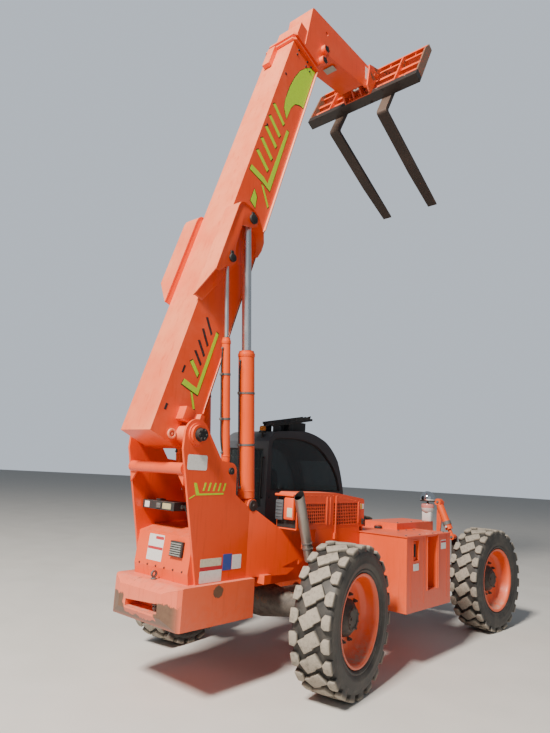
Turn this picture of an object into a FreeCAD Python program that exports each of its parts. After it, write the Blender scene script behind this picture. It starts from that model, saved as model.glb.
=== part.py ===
import FreeCAD, Part
import math
import os
import re
import Sketcher

# Telehandler with a three-section boom, a gooseneck head and a fork carriage.
# Millimetres and degrees. +X is forward, +Y is left and +Z is up from the ground.
# Pieces of the chassis are drawn with X counted from the rear axle, pieces of the
# boom with X along the boom from its pivot, and each one's Placement sets it in the whole.

doc = FreeCAD.newDocument("telehandler")
sheet = doc.addObject("Spreadsheet::Sheet", "Sizes")

# Driving dimensions, one row each: name, value, what it measures
SIZES = [
    ("rear_axle_x", -1275, "rear axle, from the middle of the machine's length"),
    ("wheelbase", 3520, "rear axle to front axle"),
    ("plate", 25, "thickness of structural plate"),
    ("sheet_metal", 6, "thickness of covers"),
    ("slack", 6, "clearance beside a moving piece"),
    ("seat_gap", 0.3, "gap between a piece and the seat that carries it"),
    ("tyre_radius", 655, "axle to the flats of the lugs"),
    ("tyre_half", 200, "half of the tyre's width"),
    ("tread_floor", 612, "axle to the floor between the lugs"),
    ("lug_count", 22, "pairs of lugs around the tyre"),
    ("lug_half", 66, "slanted lug's reach around the tyre, from its middle"),
    ("lug_long", 82, "length of a lug's end around the tyre"),
    ("lug_root", 586, "axle to the foot of the lugs at the shoulder"),
    ("rim_radius", 385, "bead seat of the rim"),
    ("rim_half", 168, "half of the rim's width"),
    ("rim_disc", 18, "disc of the wheel, outboard of the wheel's middle"),
    ("hub_radius", 165, "planetary hub"),
    ("hub_reach", 105, "end of the hub, outboard of the wheel's middle"),
    ("wheel_y", 1085, "middle of a wheel"),
    ("kingpin_y", 785, "steering pin of a knuckle"),
    ("rear_steer", 7.5, "steering angle of the rear wheels at rest"),
    ("front_steer", -5.4, "steering angle of the front wheels at rest"),
    ("axle_tube", 80, "radius of the axle tubes"),
    ("axle_case", 170, "radius of the axles' drive housings"),
    ("frame_half", 376, "outer faces of the frame's side plates"),
    ("frame_low", 560, "underside of the frame between the axles"),
    ("frame_arch", 850, "underside of the frame over an axle"),
    ("frame_top", 1150, "top edge of the frame's side plates"),
    ("frame_rear", -1190, "rear end of the side plates"),
    ("frame_ahead", 330, "front end of the side plates, ahead of the front axle"),
    ("weight_lip", 88, "counterweight beyond the frame's side plates"),
    ("weight_rear", -1405, "rear corners of the counterweight"),
    ("weight_bulge", 52, "middle of the counterweight behind its corners"),
    ("weight_front", -518, "front face of the counterweight"),
    ("weight_low", 610, "underside of the counterweight"),
    ("weight_top", 950, "top of the counterweight"),
    ("weight_round", 60, "depth of the counterweight's rounded top edge"),
    ("eye_x", -1320, "lifting eye on the counterweight"),
    ("pivot_x", -1297, "boom pivot, from the rear axle"),
    ("pivot_z", 2207, "boom pivot, above the ground"),
    ("pivot_radius", 60, "boom pivot pin"),
    ("tower_round", 136, "radius of the tower's top"),
    ("tower_plate", 25, "thickness of the tower's side plates"),
    ("wing_flare", 149, "tower's wings beyond its plates at their front ends"),
    ("wing_front", 100, "front ends of the tower's wings"),
    ("tube_radius", 50, "cross tube between the tower's plates"),
    ("boom_angle", 72.05, "boom above level"),
    ("boom_half", 216, "half width of the base section"),
    ("boom_top", 355, "top of the base section above the pivot line"),
    ("boom_low", -133, "underside of the base section"),
    ("boom_tail", -100, "rear end of the base section's top"),
    ("boom_length", 5010, "pivot to the front end of the base section"),
    ("boom_wall", 10, "wall of the boom sections"),
    ("boom_gap", 8, "gap between one boom section and the next"),
    ("boom_lip", 12, "bottom plate of the base section beyond its sides"),
    ("collar", 25, "thickness of the collars on the sections' ends"),
    ("collar_rim", 35, "height of the collars around a section"),
    ("middle_reach", 120, "middle section beyond the base section"),
    ("middle_start", 300, "rear end of the middle section"),
    ("fly_start", 400, "rear end of the fly section"),
    ("pod_half", 412, "outer faces of the cylinder pods"),
    ("pod_plate", 12, "thickness of the pods' plates"),
    ("pod_top", 430, "top of the cylinder pods above the pivot line"),
    ("pod_bend", 45, "outer radius of the pods' bent edge"),
    ("lift_inset", 62, "middle of a lift cylinder inside the tower's plate"),
    ("lift_foot_x", -540, "lower pin of the lift cylinders"),
    ("lift_foot_z", 1600, "lower pin of the lift cylinders"),
    ("lift_eye_s", 2260, "upper pin of the lift cylinders, along the boom"),
    ("lift_eye_n", 195, "upper pin of the lift cylinders, above the pivot line"),
    ("lift_barrel", 80, "radius of a lift cylinder's barrel"),
    ("lift_rod", 47, "radius of a lift cylinder's rod"),
    ("lift_length", 1470, "lower pin to the end of the barrel"),
    ("lift_pin", 38, "radius of the lift cylinders' pins"),
    ("slave_inset", 48, "middle of a levelling cylinder inside the tower's plate"),
    ("slave_foot_x", -860, "lower pin of the levelling cylinders"),
    ("slave_foot_z", 1910, "lower pin of the levelling cylinders"),
    ("slave_eye_s", 1710, "upper pin of the levelling cylinders, along the boom"),
    ("slave_eye_n", 280, "upper pin of the levelling cylinders, above the pivot line"),
    ("slave_barrel", 40, "radius of a levelling cylinder's barrel"),
    ("slave_rod", 21, "radius of a levelling cylinder's rod"),
    ("slave_length", 1230, "lower pin to the end of the barrel"),
    ("slave_pin", 20, "radius of the levelling cylinders' pins"),
    ("slave_ear", 76, "radius of the tower's ear around the levelling cylinders' pin"),
    ("rod_hold", 90, "length of a drawn-out rod that stays in its barrel"),
    ("head_half", 190, "half width of the gooseneck head"),
    ("head_depth", 430, "depth of the gooseneck head"),
    ("head_ahead", 790, "rear top corner of the head beyond the base section"),
    ("head_n", 235, "rear top corner of the head, above the pivot line"),
    ("head_reach", 1550, "rear top corner of the head to its front end"),
    ("head_plate", 16, "side plates of the head"),
    ("tilt_setback", 66, "carriage pivot behind the head's front end"),
    ("tilt_drop", 55, "carriage pivot, below the head's top"),
    ("tilt_pin", 30, "radius of the carriage pivot"),
    ("ram_foot_u", 494, "foot of the tilt cylinder, along the head"),
    ("ram_foot_drop", 310, "foot of the tilt cylinder, below the head's top"),
    ("ram_eye_back", 143, "eye of the tilt cylinder, behind the carriage pivot"),
    ("ram_eye_drop", 205, "eye of the tilt cylinder, below the carriage pivot"),
    ("ram_barrel", 60, "radius of the tilt cylinder's barrel"),
    ("ram_rod", 30, "radius of the tilt cylinder's rod"),
    ("ram_length", 640, "foot to the end of the barrel"),
    ("ram_pin", 22, "radius of the tilt cylinder's pins"),
    ("fork_tilt", 26, "forks below level"),
    ("fork_y", 406, "middle of a fork"),
    ("fork_half", 75, "half width of a fork"),
    ("fork_thick", 60, "thickness of a fork"),
    ("fork_length", 1810, "heel to tip"),
    ("carriage_half", 930, "half width of the carriage"),
    ("carriage_back", 65, "back of the carriage ahead of its pivot"),
    ("carriage_up", 455, "top of the carriage above its pivot"),
    ("carriage_down", 372, "underside of the carriage below its pivot"),
    ("heel_down", 725, "underside of the heels below the carriage pivot"),
    ("bar_deep", 140, "depth of the carriage's lower bar"),
    ("hood_rear", -205, "rear face of the engine hood"),
    ("hood_front", 1000, "front face of the engine hood"),
    ("hood_gap", 49, "gap between the frame and the hood's left side"),
    ("hood_width", 250, "width of the engine hood"),
    ("hood_low", 1385, "lower edge of the engine hood"),
    ("hood_top", 1740, "top of the engine hood"),
    ("hood_slope", 57, "fall of the hood's top towards its front"),
    ("hinge_pin", 8, "radius of the hinge pins"),
    ("hinge_wall", 6, "wall of the hinge barrels"),
    ("tray_arch", 1200, "underside of the engine tray over the wheel"),
    ("grille_plate", 4, "thickness of the grilles"),
    ("grille_hole", 22, "square holes of the grilles"),
    ("grille_pitch", 32, "spacing of the grilles' holes"),
    ("pipe_radius", 50, "exhaust pipe"),
    ("pipe_lean", 19, "exhaust pipe, leaning back"),
    ("pipe_length", 680, "length of the exhaust pipe"),
    ("tank_rear", 920, "rear face of the tank box"),
    ("tank_front", 1970, "front face of the tank box"),
    ("tank_width", 874, "tank box beyond the frame's side plate"),
    ("tank_low", 565, "underside of the tank box"),
    ("tank_top", 1337, "top of the tank box"),
    ("deck_rear", 1510, "rear face of the raised deck on the tank box"),
    ("deck_front", 2450, "front end of the raised deck"),
    ("deck_width", 434, "raised deck beyond the frame's side plate"),
    ("deck_top", 1410, "top of the raised deck"),
    ("cab_rear", 600, "rear face of the cab"),
    ("cab_gap", 74, "gap between the frame and the cab"),
    ("cab_width", 750, "width of the cab"),
    ("cab_floor", 1000, "floor of the cab"),
    ("cab_wall", 45, "thickness of the cab's pillars and doors"),
    ("cab_sill", 60, "depth of the cab's floor"),
    ("glass", 6, "thickness of the cab's glass"),
    ("door_hinge_x", 1180, "hinge of the cab's door"),
    ("mirror_radius", 95, "dome mirror at the front right"),
    ("sway_back", 60, "frame levelling cylinder behind the front axle"),
    ("sway_foot_y", 630, "foot of the frame levelling cylinder, to the right"),
    ("sway_foot_z", 1144, "foot of the frame levelling cylinder"),
    ("sway_head_y", 420, "head of the frame levelling cylinder, to the right"),
    ("sway_head_z", 1617, "head of the frame levelling cylinder"),
]

# Places worked out from the driving dimensions
WORKED_OUT = {
    "frame_front": "(wheelbase + frame_ahead)",
    "pitch_half": "(tyre_radius * tan(180 / lug_count))",
    "weight_half": "(frame_half + weight_lip)",
    "tower_outer": "(frame_half + tower_plate)",
    "boss_half": "(axle_tube + 50)",
    "boom_inner": "(boom_half - boom_wall)",
    "mid_half": "(boom_half - boom_wall - boom_gap)",
    "mid_top": "(boom_top - boom_wall - boom_gap)",
    "mid_low": "(boom_low + boom_wall + boom_gap)",
    "mid_end": "(boom_length + middle_reach)",
    "fly_half": "(mid_half - boom_wall - boom_gap)",
    "fly_top": "(mid_top - boom_wall - boom_gap)",
    "fly_low": "(mid_low + boom_wall + boom_gap)",
    "lift_y": "(frame_half - lift_inset)",
    "slave_y": "(frame_half - slave_inset)",
    "lift_eye_x": "(pivot_x + lift_eye_s * cos(boom_angle) - lift_eye_n * sin(boom_angle))",
    "lift_eye_z": "(pivot_z + lift_eye_s * sin(boom_angle) + lift_eye_n * cos(boom_angle))",
    "lift_span": "hypot(lift_eye_x - lift_foot_x; lift_eye_z - lift_foot_z)",
    "lift_lean": "atan2(lift_eye_z - lift_foot_z; lift_eye_x - lift_foot_x)",
    "slave_eye_x": "(pivot_x + slave_eye_s * cos(boom_angle) - slave_eye_n * sin(boom_angle))",
    "slave_eye_z": "(pivot_z + slave_eye_s * sin(boom_angle) + slave_eye_n * cos(boom_angle))",
    "slave_span": "hypot(slave_eye_x - slave_foot_x; slave_eye_z - slave_foot_z)",
    "slave_lean": "atan2(slave_eye_z - slave_foot_z; slave_eye_x - slave_foot_x)",
    "head_s": "(boom_length + head_ahead)",
    "head_x": "(pivot_x + head_s * cos(boom_angle) - head_n * sin(boom_angle))",
    "head_z": "(pivot_z + head_s * sin(boom_angle) + head_n * cos(boom_angle))",
    "tilt_u": "(head_reach - tilt_setback)",
    "tilt_x": "(head_x + tilt_u)",
    "tilt_z": "(head_z - tilt_drop)",
    "ram_foot_x": "(head_x + ram_foot_u)",
    "ram_foot_z": "(head_z - ram_foot_drop)",
    "ram_span": "hypot(tilt_x - ram_eye_back - ram_foot_x; tilt_z - ram_eye_drop - ram_foot_z)",
    "ram_lean": "atan2(tilt_z - ram_eye_drop - ram_foot_z; tilt_x - ram_eye_back - ram_foot_x)",
    "ram_lug": "(ram_barrel * 0.8 + slack)",
    "shank_back": "(carriage_back + bar_deep)",
    "hanger_in": "(head_half + slack)",
    "hanger_out": "(head_half + slack + plate)",
    "sway_x": "(wheelbase - sway_back)",
    "hood_left": "(0 - frame_half - hood_gap)",
    "hood_right": "(0 - frame_half - hood_gap - hood_width)",
    "hood_hinge_x": "(hood_front + hinge_pin + hinge_wall + 2)",
    "hood_hinge_z": "(hood_low + hinge_pin + hinge_wall)",
    "tank_right": "(0 - frame_half - tank_width)",
    "deck_right": "(0 - frame_half - deck_width)",
    "cab_right": "(frame_half + cab_gap)",
    "cab_left": "(frame_half + cab_gap + cab_width)",
    "door_hinge_y": "(frame_half + cab_gap + cab_width + hinge_pin + hinge_wall + 2)",
}


def fill_sheet():
    """Writes the driving dimensions to the sheet, one named cell each."""
    for row, (name, value, meaning) in enumerate(SIZES, start=1):
        sheet.set("A%d" % row, meaning)
        sheet.set("B%d" % row, str(value))
        sheet.setAlias("B%d" % row, name)
    doc.recompute()


def spelled(formula):
    """Turns a formula of size names into an expression on the sheet's cells."""
    text = str(formula)
    while any(re.search(r"\b%s\b" % name, text) for name in WORKED_OUT):
        for name, meaning in WORKED_OUT.items():
            text = re.sub(r"\b%s\b" % name, meaning, text)
    for name, _, _ in SIZES:
        text = re.sub(r"(?<![\w.])%s\b" % name, "Sizes." + name, text)
    return text


def number(formula):
    """Works a formula of size names out."""
    value = sheet.evalExpression(spelled(formula))
    return float(getattr(value, "Value", value))


def bind(thing, **formulas):
    """Binds properties of an object to formulas of size names."""
    for name, formula in formulas.items():
        thing.setExpression(name.replace("__", "."), spelled(formula))
    return thing


def span(side, near, far):
    """Two places across the machine in rising order, mirrored on the right (side -1)."""
    return (near, far) if side > 0 else ("0 - (%s)" % far, "0 - (%s)" % near)


def sided(side, corners):
    """An outline seen from above, mirrored on the right (side -1)."""
    if side > 0:
        return corners
    return [(along, "0 - (%s)" % across) for along, across in reversed(corners)]


# Standing planes of a sketch: rotation that turns the sheet's own plane into it
PLANES = {
    "side": FreeCAD.Rotation(FreeCAD.Vector(1, 0, 0), 90),
    "end": FreeCAD.Rotation(FreeCAD.Vector(1, 1, 1), 120),
    "plan": FreeCAD.Rotation(),
}
# The axis that a plane stands square to, and its sign along the sketch's normal
NORMALS = {"side": ("y", -1), "end": ("x", 1), "plan": ("z", 1)}


def draw(sketch, corners):
    """Draws a closed outline through corners, each a pair of formulas. A third value is
    the radius of the arc that leads to that corner, negative where it turns right."""
    places = [FreeCAD.Vector(number(row[0]), number(row[1]), 0) for row in corners]
    count = len(places)
    ends = []
    arcs = []
    for index in range(count):
        after = (index + 1) % count
        start, finish = places[index], places[after]
        if len(corners[after]) == 2:
            sketch.addGeometry(Part.LineSegment(start, finish))
            ends.append((1, 2))
            continue
        radius = number(corners[after][2])
        chord = finish - start
        left = FreeCAD.Vector(-chord.y, chord.x, 0).normalize()
        rise = math.sqrt(radius ** 2 - (chord.Length / 2) ** 2)
        centre = (start + finish) / 2 + left * math.copysign(rise, radius)
        first, last = (start, finish) if radius > 0 else (finish, start)
        angles = [math.atan2(place.y - centre.y, place.x - centre.x) for place in (first, last)]
        if angles[1] < angles[0]:
            angles[1] += 2 * math.pi
        ring = Part.Circle(centre, FreeCAD.Vector(0, 0, 1), abs(radius))
        sketch.addGeometry(Part.ArcOfCircle(ring, angles[0], angles[1]))
        ends.append((1, 2) if radius > 0 else (2, 1))
        arcs.append((index, corners[after][2]))
    for index in range(count):
        after = (index + 1) % count
        sketch.addConstraint(Sketcher.Constraint(
            "Coincident", index, ends[index][1], after, ends[after][0]))
    for index, row in enumerate(corners):
        for kind, formula in (("DistanceX", row[0]), ("DistanceY", row[1])):
            made = sketch.addConstraint(
                Sketcher.Constraint(kind, -1, 1, index, ends[index][0], number(formula)))
            sketch.setExpression("Constraints[%d]" % made, spelled(formula))
    for index, formula in arcs:
        made = sketch.addConstraint(
            Sketcher.Constraint("Radius", index, abs(number(formula))))
        sketch.setExpression("Constraints[%d]" % made, "abs(%s)" % spelled(formula))
    return sketch


def outline(name, plane, corners, level):
    """A closed sketch on a plane that stands at level along its own axis."""
    sketch = doc.addObject("Sketcher::SketchObject", name)
    sketch.Placement.Rotation = PLANES[plane]
    bind(sketch, **{"Placement__Base__" + NORMALS[plane][0]: level})
    return draw(sketch, corners)


def slab(name, plane, corners, start, finish):
    """A flat piece with the given outline, from start to finish across its plane."""
    base = start if NORMALS[plane][1] > 0 else finish
    solid = doc.addObject("Part::Extrusion", name)
    solid.Base = outline(name + "_outline", plane, corners, base)
    solid.DirMode = "Normal"
    solid.Solid = True
    return bind(solid, LengthFwd="(%s) - (%s)" % (finish, start))


def block(name, low, high):
    """A box between two corners, each a triple of formulas."""
    solid = doc.addObject("Part::Box", name)
    sizes = ["(%s) - (%s)" % (top, base) for base, top in zip(low, high)]
    bind(solid, Length=sizes[0], Width=sizes[1], Height=sizes[2])
    bind(solid, Placement__Base__x=low[0], Placement__Base__y=low[1], Placement__Base__z=low[2])
    return solid


# Rotation that lays an upright piece along an axis
TURNS = {
    "x": FreeCAD.Rotation(FreeCAD.Vector(0, 1, 0), 90),
    "y": FreeCAD.Rotation(FreeCAD.Vector(1, 0, 0), -90),
    "z": FreeCAD.Rotation(),
}


def lay(solid, along, start, finish, centre):
    """Lays an upright round piece along an axis, through centre (two formulas)."""
    solid.Placement.Rotation = TURNS[along]
    bind(solid, Height="(%s) - (%s)" % (finish, start))
    bind(solid, **{"Placement__Base__" + along: start})
    others = [axis for axis in "xyz" if axis != along]
    for axis, formula in zip(others, centre):
        bind(solid, **{"Placement__Base__" + axis: formula})
    return solid


def bar(name, along, radius, start, finish, centre):
    """A round bar along an axis, from start to finish."""
    solid = bind(doc.addObject("Part::Cylinder", name), Radius=radius)
    return lay(solid, along, start, finish, centre)


def taper(name, along, radii, start, finish, centre):
    """A cone along an axis, with its radii at start and finish."""
    solid = bind(doc.addObject("Part::Cone", name), Radius1=radii[0], Radius2=radii[1])
    return lay(solid, along, start, finish, centre)


def fuse(name, pieces):
    """Pieces welded into one."""
    solid = doc.addObject("Part::MultiFuse", name)
    solid.Shapes = pieces
    return solid


def cut(name, base, tools):
    """A piece with others cut out of it."""
    solid = doc.addObject("Part::Cut", name)
    solid.Base = base
    solid.Tool = tools[0] if len(tools) == 1 else fuse(name + "_tools", tools)
    return solid


def common(name, pieces):
    """What several outlines, each extruded its own way, have in common."""
    solid = doc.addObject("Part::MultiCommon", name)
    solid.Shapes = pieces
    return solid


def group(name, pieces):
    """Pieces that stand apart and share a node."""
    solid = doc.addObject("Part::Compound", name)
    solid.Links = pieces
    return solid


NODES = {}


def keep(node, solid, x="rear_axle_x", y="0", z="0", lean=None, turn=None):
    """Sets a finished sub-part in the whole, leaned about Y or turned about Z."""
    solid = group(node + "_set", [solid])
    solid.Label = node
    axis, angle = (FreeCAD.Vector(0, -1, 0), lean) if lean else (FreeCAD.Vector(0, 0, 1), turn)
    if angle:
        solid.Placement.Rotation = FreeCAD.Rotation(axis, number(angle))
        bind(solid, Placement__Rotation__Angle=angle)
    bind(solid, Placement__Base__x=x, Placement__Base__y=y, Placement__Base__z=z)
    NODES[node] = solid
    return solid


def own_plane(body, role):
    """One of a body's own planes or axes."""
    return [item for item in body.Origin.OriginFeatures if item.Role == role][0]


def spun(name, corners):
    """A body turned about the Y axis, from corners given as (radius, along the axis)."""
    body = doc.addObject("PartDesign::Body", name)
    sketch = body.newObject("Sketcher::SketchObject", name + "_profile")
    sketch.AttachmentSupport = (own_plane(body, "XY_Plane"), [""])
    sketch.MapMode = "FlatFace"
    draw(sketch, corners)
    ring = body.newObject("PartDesign::Revolution", name + "_ring")
    ring.Profile = sketch
    ring.ReferenceAxis = (sketch, ["V_Axis"])
    ring.Angle = 360
    body.Tip = ring
    return body


def tyre_pitch():
    """One flat facet of the tyre's ring, mitred to its neighbours, with its two lugs."""
    stations = [
        # place across the tyre, distance from the axle
        ("tyre_half - 34", "rim_radius + seat_gap"),
        ("tyre_half - 34", "rim_radius + 44"),
        ("tyre_half", "tread_floor - 80"),
        ("tyre_half - 8", "lug_root"),
        ("tyre_half - 30", "tread_floor"),
    ]
    section = stations + [("0 - (%s)" % across, out) for across, out in reversed(stations)]
    sector = [("0", "0"), ("pitch_half", "tyre_radius"), ("0 - pitch_half", "tyre_radius")]
    pieces = [common("tyre_facet", [
        slab("tyre_section", "end", section, "0 - pitch_half", "pitch_half"),
        slab("tyre_sector", "side", sector, "0 - tyre_half", "tyre_half")])]
    for side in (1, -1):
        corners = [
            ("%d * (lug_half - lug_long - 4)" % side, "%d * 8" % side),
            ("%d * (lug_half - 4)" % side, "%d * 8" % side),
            ("%d * (lug_long - lug_half)" % side, "%d * (tyre_half - 11)" % side),
            ("%d * (0 - lug_half)" % side, "%d * (tyre_half - 11)" % side),
        ]
        pieces.append(slab("lug_%d" % side, "plan", corners, "lug_root", "tyre_radius"))
    return fuse("tyre_pitch", pieces)


def lugged_tyre():
    """The ring of facets, each with a slanted lug from the middle to either shoulder."""
    pitch = tyre_pitch()
    count = int(number("lug_count"))
    around = []
    for index in range(count):
        facet = group("tyre_pitch_%d" % index, [pitch])
        facet.Placement.Rotation = FreeCAD.Rotation(FreeCAD.Vector(0, 1, 0), 360 * index / count)
        around.append(facet)
    return fuse("tyre_master", around)


def wheel_rim():
    """A deep-dished rim with its disc and the planetary hub."""
    return spun("rim_master", [
        ("0", "rim_disc - 60"), ("hub_radius", "rim_disc - 60"), ("hub_radius", "rim_disc - 16"),
        ("rim_radius - 75", "rim_disc - 16"), ("rim_radius - 28", "rim_disc - 70"),
        ("rim_radius - 16", "0 - rim_half - 8"), ("rim_radius + 20", "0 - rim_half - 8"),
        ("rim_radius + 20", "0 - rim_half + seat_gap"), ("rim_radius", "0 - rim_half + seat_gap"),
        ("rim_radius", "rim_half - seat_gap"), ("rim_radius + 20", "rim_half - seat_gap"),
        ("rim_radius + 20", "rim_half + 8"), ("rim_radius - 16", "rim_half + 8"),
        ("rim_radius - 32", "rim_disc + 50"), ("rim_radius - 90", "rim_disc"),
        ("hub_radius", "rim_disc"), ("hub_radius - 12", "rim_disc + 34"),
        ("hub_radius - 55", "hub_reach - 14"), ("hub_radius - 70", "hub_reach"),
        ("0", "hub_reach")])


def steering_knuckle():
    """A knuckle that holds the axle's boss above and below, with the hub's carrier."""
    arm = ("boss_half + seat_gap", "boss_half + 40")
    pieces = [
        bar("knuckle_carrier", "y", "hub_radius - 25", "axle_tube + 20",
            "wheel_y - kingpin_y + rim_disc - 60 - seat_gap", ("0", "0")),
        slab("knuckle_upright", "end", [
            ("axle_tube + 17", "0 - boss_half - 40"), ("axle_tube + 52", "0 - boss_half - 40"),
            ("axle_tube + 70", "0 - boss_half"), ("axle_tube + 70", "boss_half"),
            ("axle_tube + 52", "boss_half + 40"), ("axle_tube + 17", "boss_half + 40")],
            "-90", "90"),
    ]
    for name, (low, high) in (("upper", arm),
                              ("lower", ("0 - boss_half - 40", "0 - boss_half - seat_gap"))):
        pieces.append(slab("knuckle_%s_arm" % name, "plan", [
            ("-78", "0"), ("0", "-78", "78"), ("78", "0", "78"), ("60", "axle_tube + 40"),
            ("-60", "axle_tube + 40")], low, high))
    return fuse("knuckle_master", pieces)


WHEELS = [
    # name, axle's place from the rear axle, side (+1 left), steering angle
    ("rear_left", "0", 1, "rear_steer"),
    ("rear_right", "0", -1, "rear_steer"),
    ("front_left", "wheelbase", 1, "front_steer"),
    ("front_right", "wheelbase", -1, "front_steer"),
]


def wheels_and_knuckles():
    """Four wheels on steered knuckles, drawn about a left kingpin and then turned."""
    tyre, rim, knuckle = lugged_tyre(), wheel_rim(), steering_knuckle()
    for name, axle, side, steer in WHEELS:
        place = dict(x="rear_axle_x + " + axle, y="%d * kingpin_y" % side, z="tyre_radius",
                     turn=steer if side > 0 else steer + " + 180")
        for kind, master in (("tyre_", tyre), ("rim_", rim)):
            outboard = group(kind + name + "_outboard", [master])
            bind(outboard, Placement__Base__y="wheel_y - kingpin_y")
            keep(kind + name, outboard, **place)
        keep("knuckle_" + name, knuckle, **place)


def axles():
    """Driven axles: a drive housing, tapered arms and a boss for each kingpin."""
    for name, centre, drive in (("rear_axle", "0", 1), ("front_axle", "wheelbase", -1)):
        nose = ["%s + %d * %s" % (centre, drive, reach) for reach in ("100", "300")]
        nose = nose if drive > 0 else nose[::-1]
        pieces = [
            bar(name + "_tube", "y", "axle_tube", "0 - kingpin_y", "kingpin_y",
                (centre, "tyre_radius")),
            bar(name + "_case", "y", "axle_case", "-150", "150", (centre, "tyre_radius")),
            bar(name + "_nose", "x", "axle_tube", nose[0], nose[1], ("0", "tyre_radius")),
            block(name + "_saddle", (centre + " - 110", "-150", "tyre_radius + 60"),
                  (centre + " + 110", "150", "frame_arch")),
        ]
        for side in (1, -1):
            ends = span(side, "150", "kingpin_y - 165")
            radii = ("axle_case", "axle_tube + 8")
            pieces.append(taper("%s_arm_%d" % (name, side), "y",
                                radii if side > 0 else radii[::-1], ends[0], ends[1],
                                (centre, "tyre_radius")))
            pieces.append(bar("%s_boss_%d" % (name, side), "z", "axle_tube + 5",
                              "tyre_radius - boss_half", "tyre_radius + boss_half",
                              (centre, "%d * kingpin_y" % side)))
        if name == "front_axle":
            pieces.append(slab("sway_ear", "end", [
                ("0 - sway_foot_y - 45", "tyre_radius + axle_tube - 20"),
                ("0 - sway_foot_y + 45", "tyre_radius + axle_tube - 20"),
                ("0 - sway_foot_y + 40", "sway_foot_z"),
                ("0 - sway_foot_y - 40", "sway_foot_z", "44")],
                "sway_x + 60", "sway_x + 85"))
        keep(name, fuse(name + "_weld", pieces))


def cab_steps():
    """Two steps that hang from the cab's outriggers below the door."""
    pieces = []
    for index, along in enumerate(("1300", "1780")):
        pieces.append(slab("step_side_%d" % index, "end", [
            ("cab_left - 60", "cab_floor - cab_sill"), ("cab_left - 170", "cab_floor - cab_sill"),
            ("cab_left - 110", "520"), ("cab_left + 10", "520")][::-1], along, along + " + 10"))
    for index, (low, out) in enumerate((("520", "10"), ("740", "-25"))):
        pieces.append(block("step_tread_%d" % index, ("1300", "cab_left - 110 + %s" % out, low),
                            ("1790", "cab_left + " + out, low + " + 30")))
    return pieces


def chassis_frame():
    """Two side plates with cross members, a belly plate and the cab's outriggers."""
    side_outline = [
        ("frame_rear", "weight_top"), ("weight_front + 10", "weight_top"),
        ("weight_front + 60", "frame_arch"), ("400", "frame_arch"),
        ("760", "frame_low"), ("wheelbase - 760", "frame_low"),
        ("wheelbase - 420", "frame_arch"), ("frame_front - 60", "frame_arch"),
        ("frame_front", "frame_arch + 60", "60"), ("frame_front - 30", "frame_top - 80"),
        ("wheelbase - 800", "frame_top"), ("frame_rear + 40", "frame_top")]
    inner = "(frame_half - plate)"
    pieces = []
    for side in (1, -1):
        near, far = span(side, inner, "frame_half")
        pieces.append(slab("frame_side_%d" % side, "side", side_outline, near, far))
    members = [
        # name, rear end, underside, front end, top
        ("belly", "760", "frame_low", "wheelbase - 760", "frame_low + 12"),
        ("nose", "frame_front - 120", "frame_arch + 40", "frame_front - 60", "frame_top - 110"),
        ("front_saddle", "wheelbase - 160", "frame_arch", "wheelbase + 160", "frame_arch + 30"),
        ("rear_saddle", "-160", "frame_arch", "160", "frame_arch + 30"),
        ("rear_sill", "frame_rear + 10", "weight_top", "weight_front", "weight_top + 30"),
        ("bulkhead", "700", "frame_low + 60", "720", "frame_top - 20"),
        ("front_bulkhead", "wheelbase - 800", "frame_low + 60", "wheelbase - 780",
         "frame_top - 20"),
    ]
    for name, rear, low, front, top in members:
        pieces.append(block("frame_" + name, (rear, "0 - " + inner, low), (front, inner, top)))
    for name, rear in (("rear", "850"), ("front", "2030")):
        pieces.append(slab("outrigger_" + name, "end", [
            ("frame_half", "cab_floor - cab_sill - 170"), ("cab_left - 60", "cab_floor - cab_sill - 60"),
            ("cab_left - 60", "cab_floor - cab_sill"), ("frame_half", "cab_floor - cab_sill")],
            rear, rear + " + 90"))
    # upright bracket for the head of the levelling cylinder
    pieces.append(slab("sway_bracket", "end", [
        ("0 - frame_half", "frame_top - 250"), ("0 - frame_half + plate", "frame_top - 250"),
        ("0 - sway_head_y + 50", "sway_head_z"), ("0 - sway_head_y - 50", "sway_head_z", "55")],
        "sway_x + 60", "sway_x + 85"))
    shaft_hole = bar("shaft_hole", "x", "60", "690", "730", ("0", "tyre_radius"))
    front_hole = bar("front_shaft_hole", "x", "60", "wheelbase - 810", "wheelbase - 770",
                     ("0", "tyre_radius"))
    keep("chassis_frame", cut("frame_cut", fuse("frame_weld", pieces + cab_steps()),
                              [shaft_hole, front_hole]))


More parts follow.
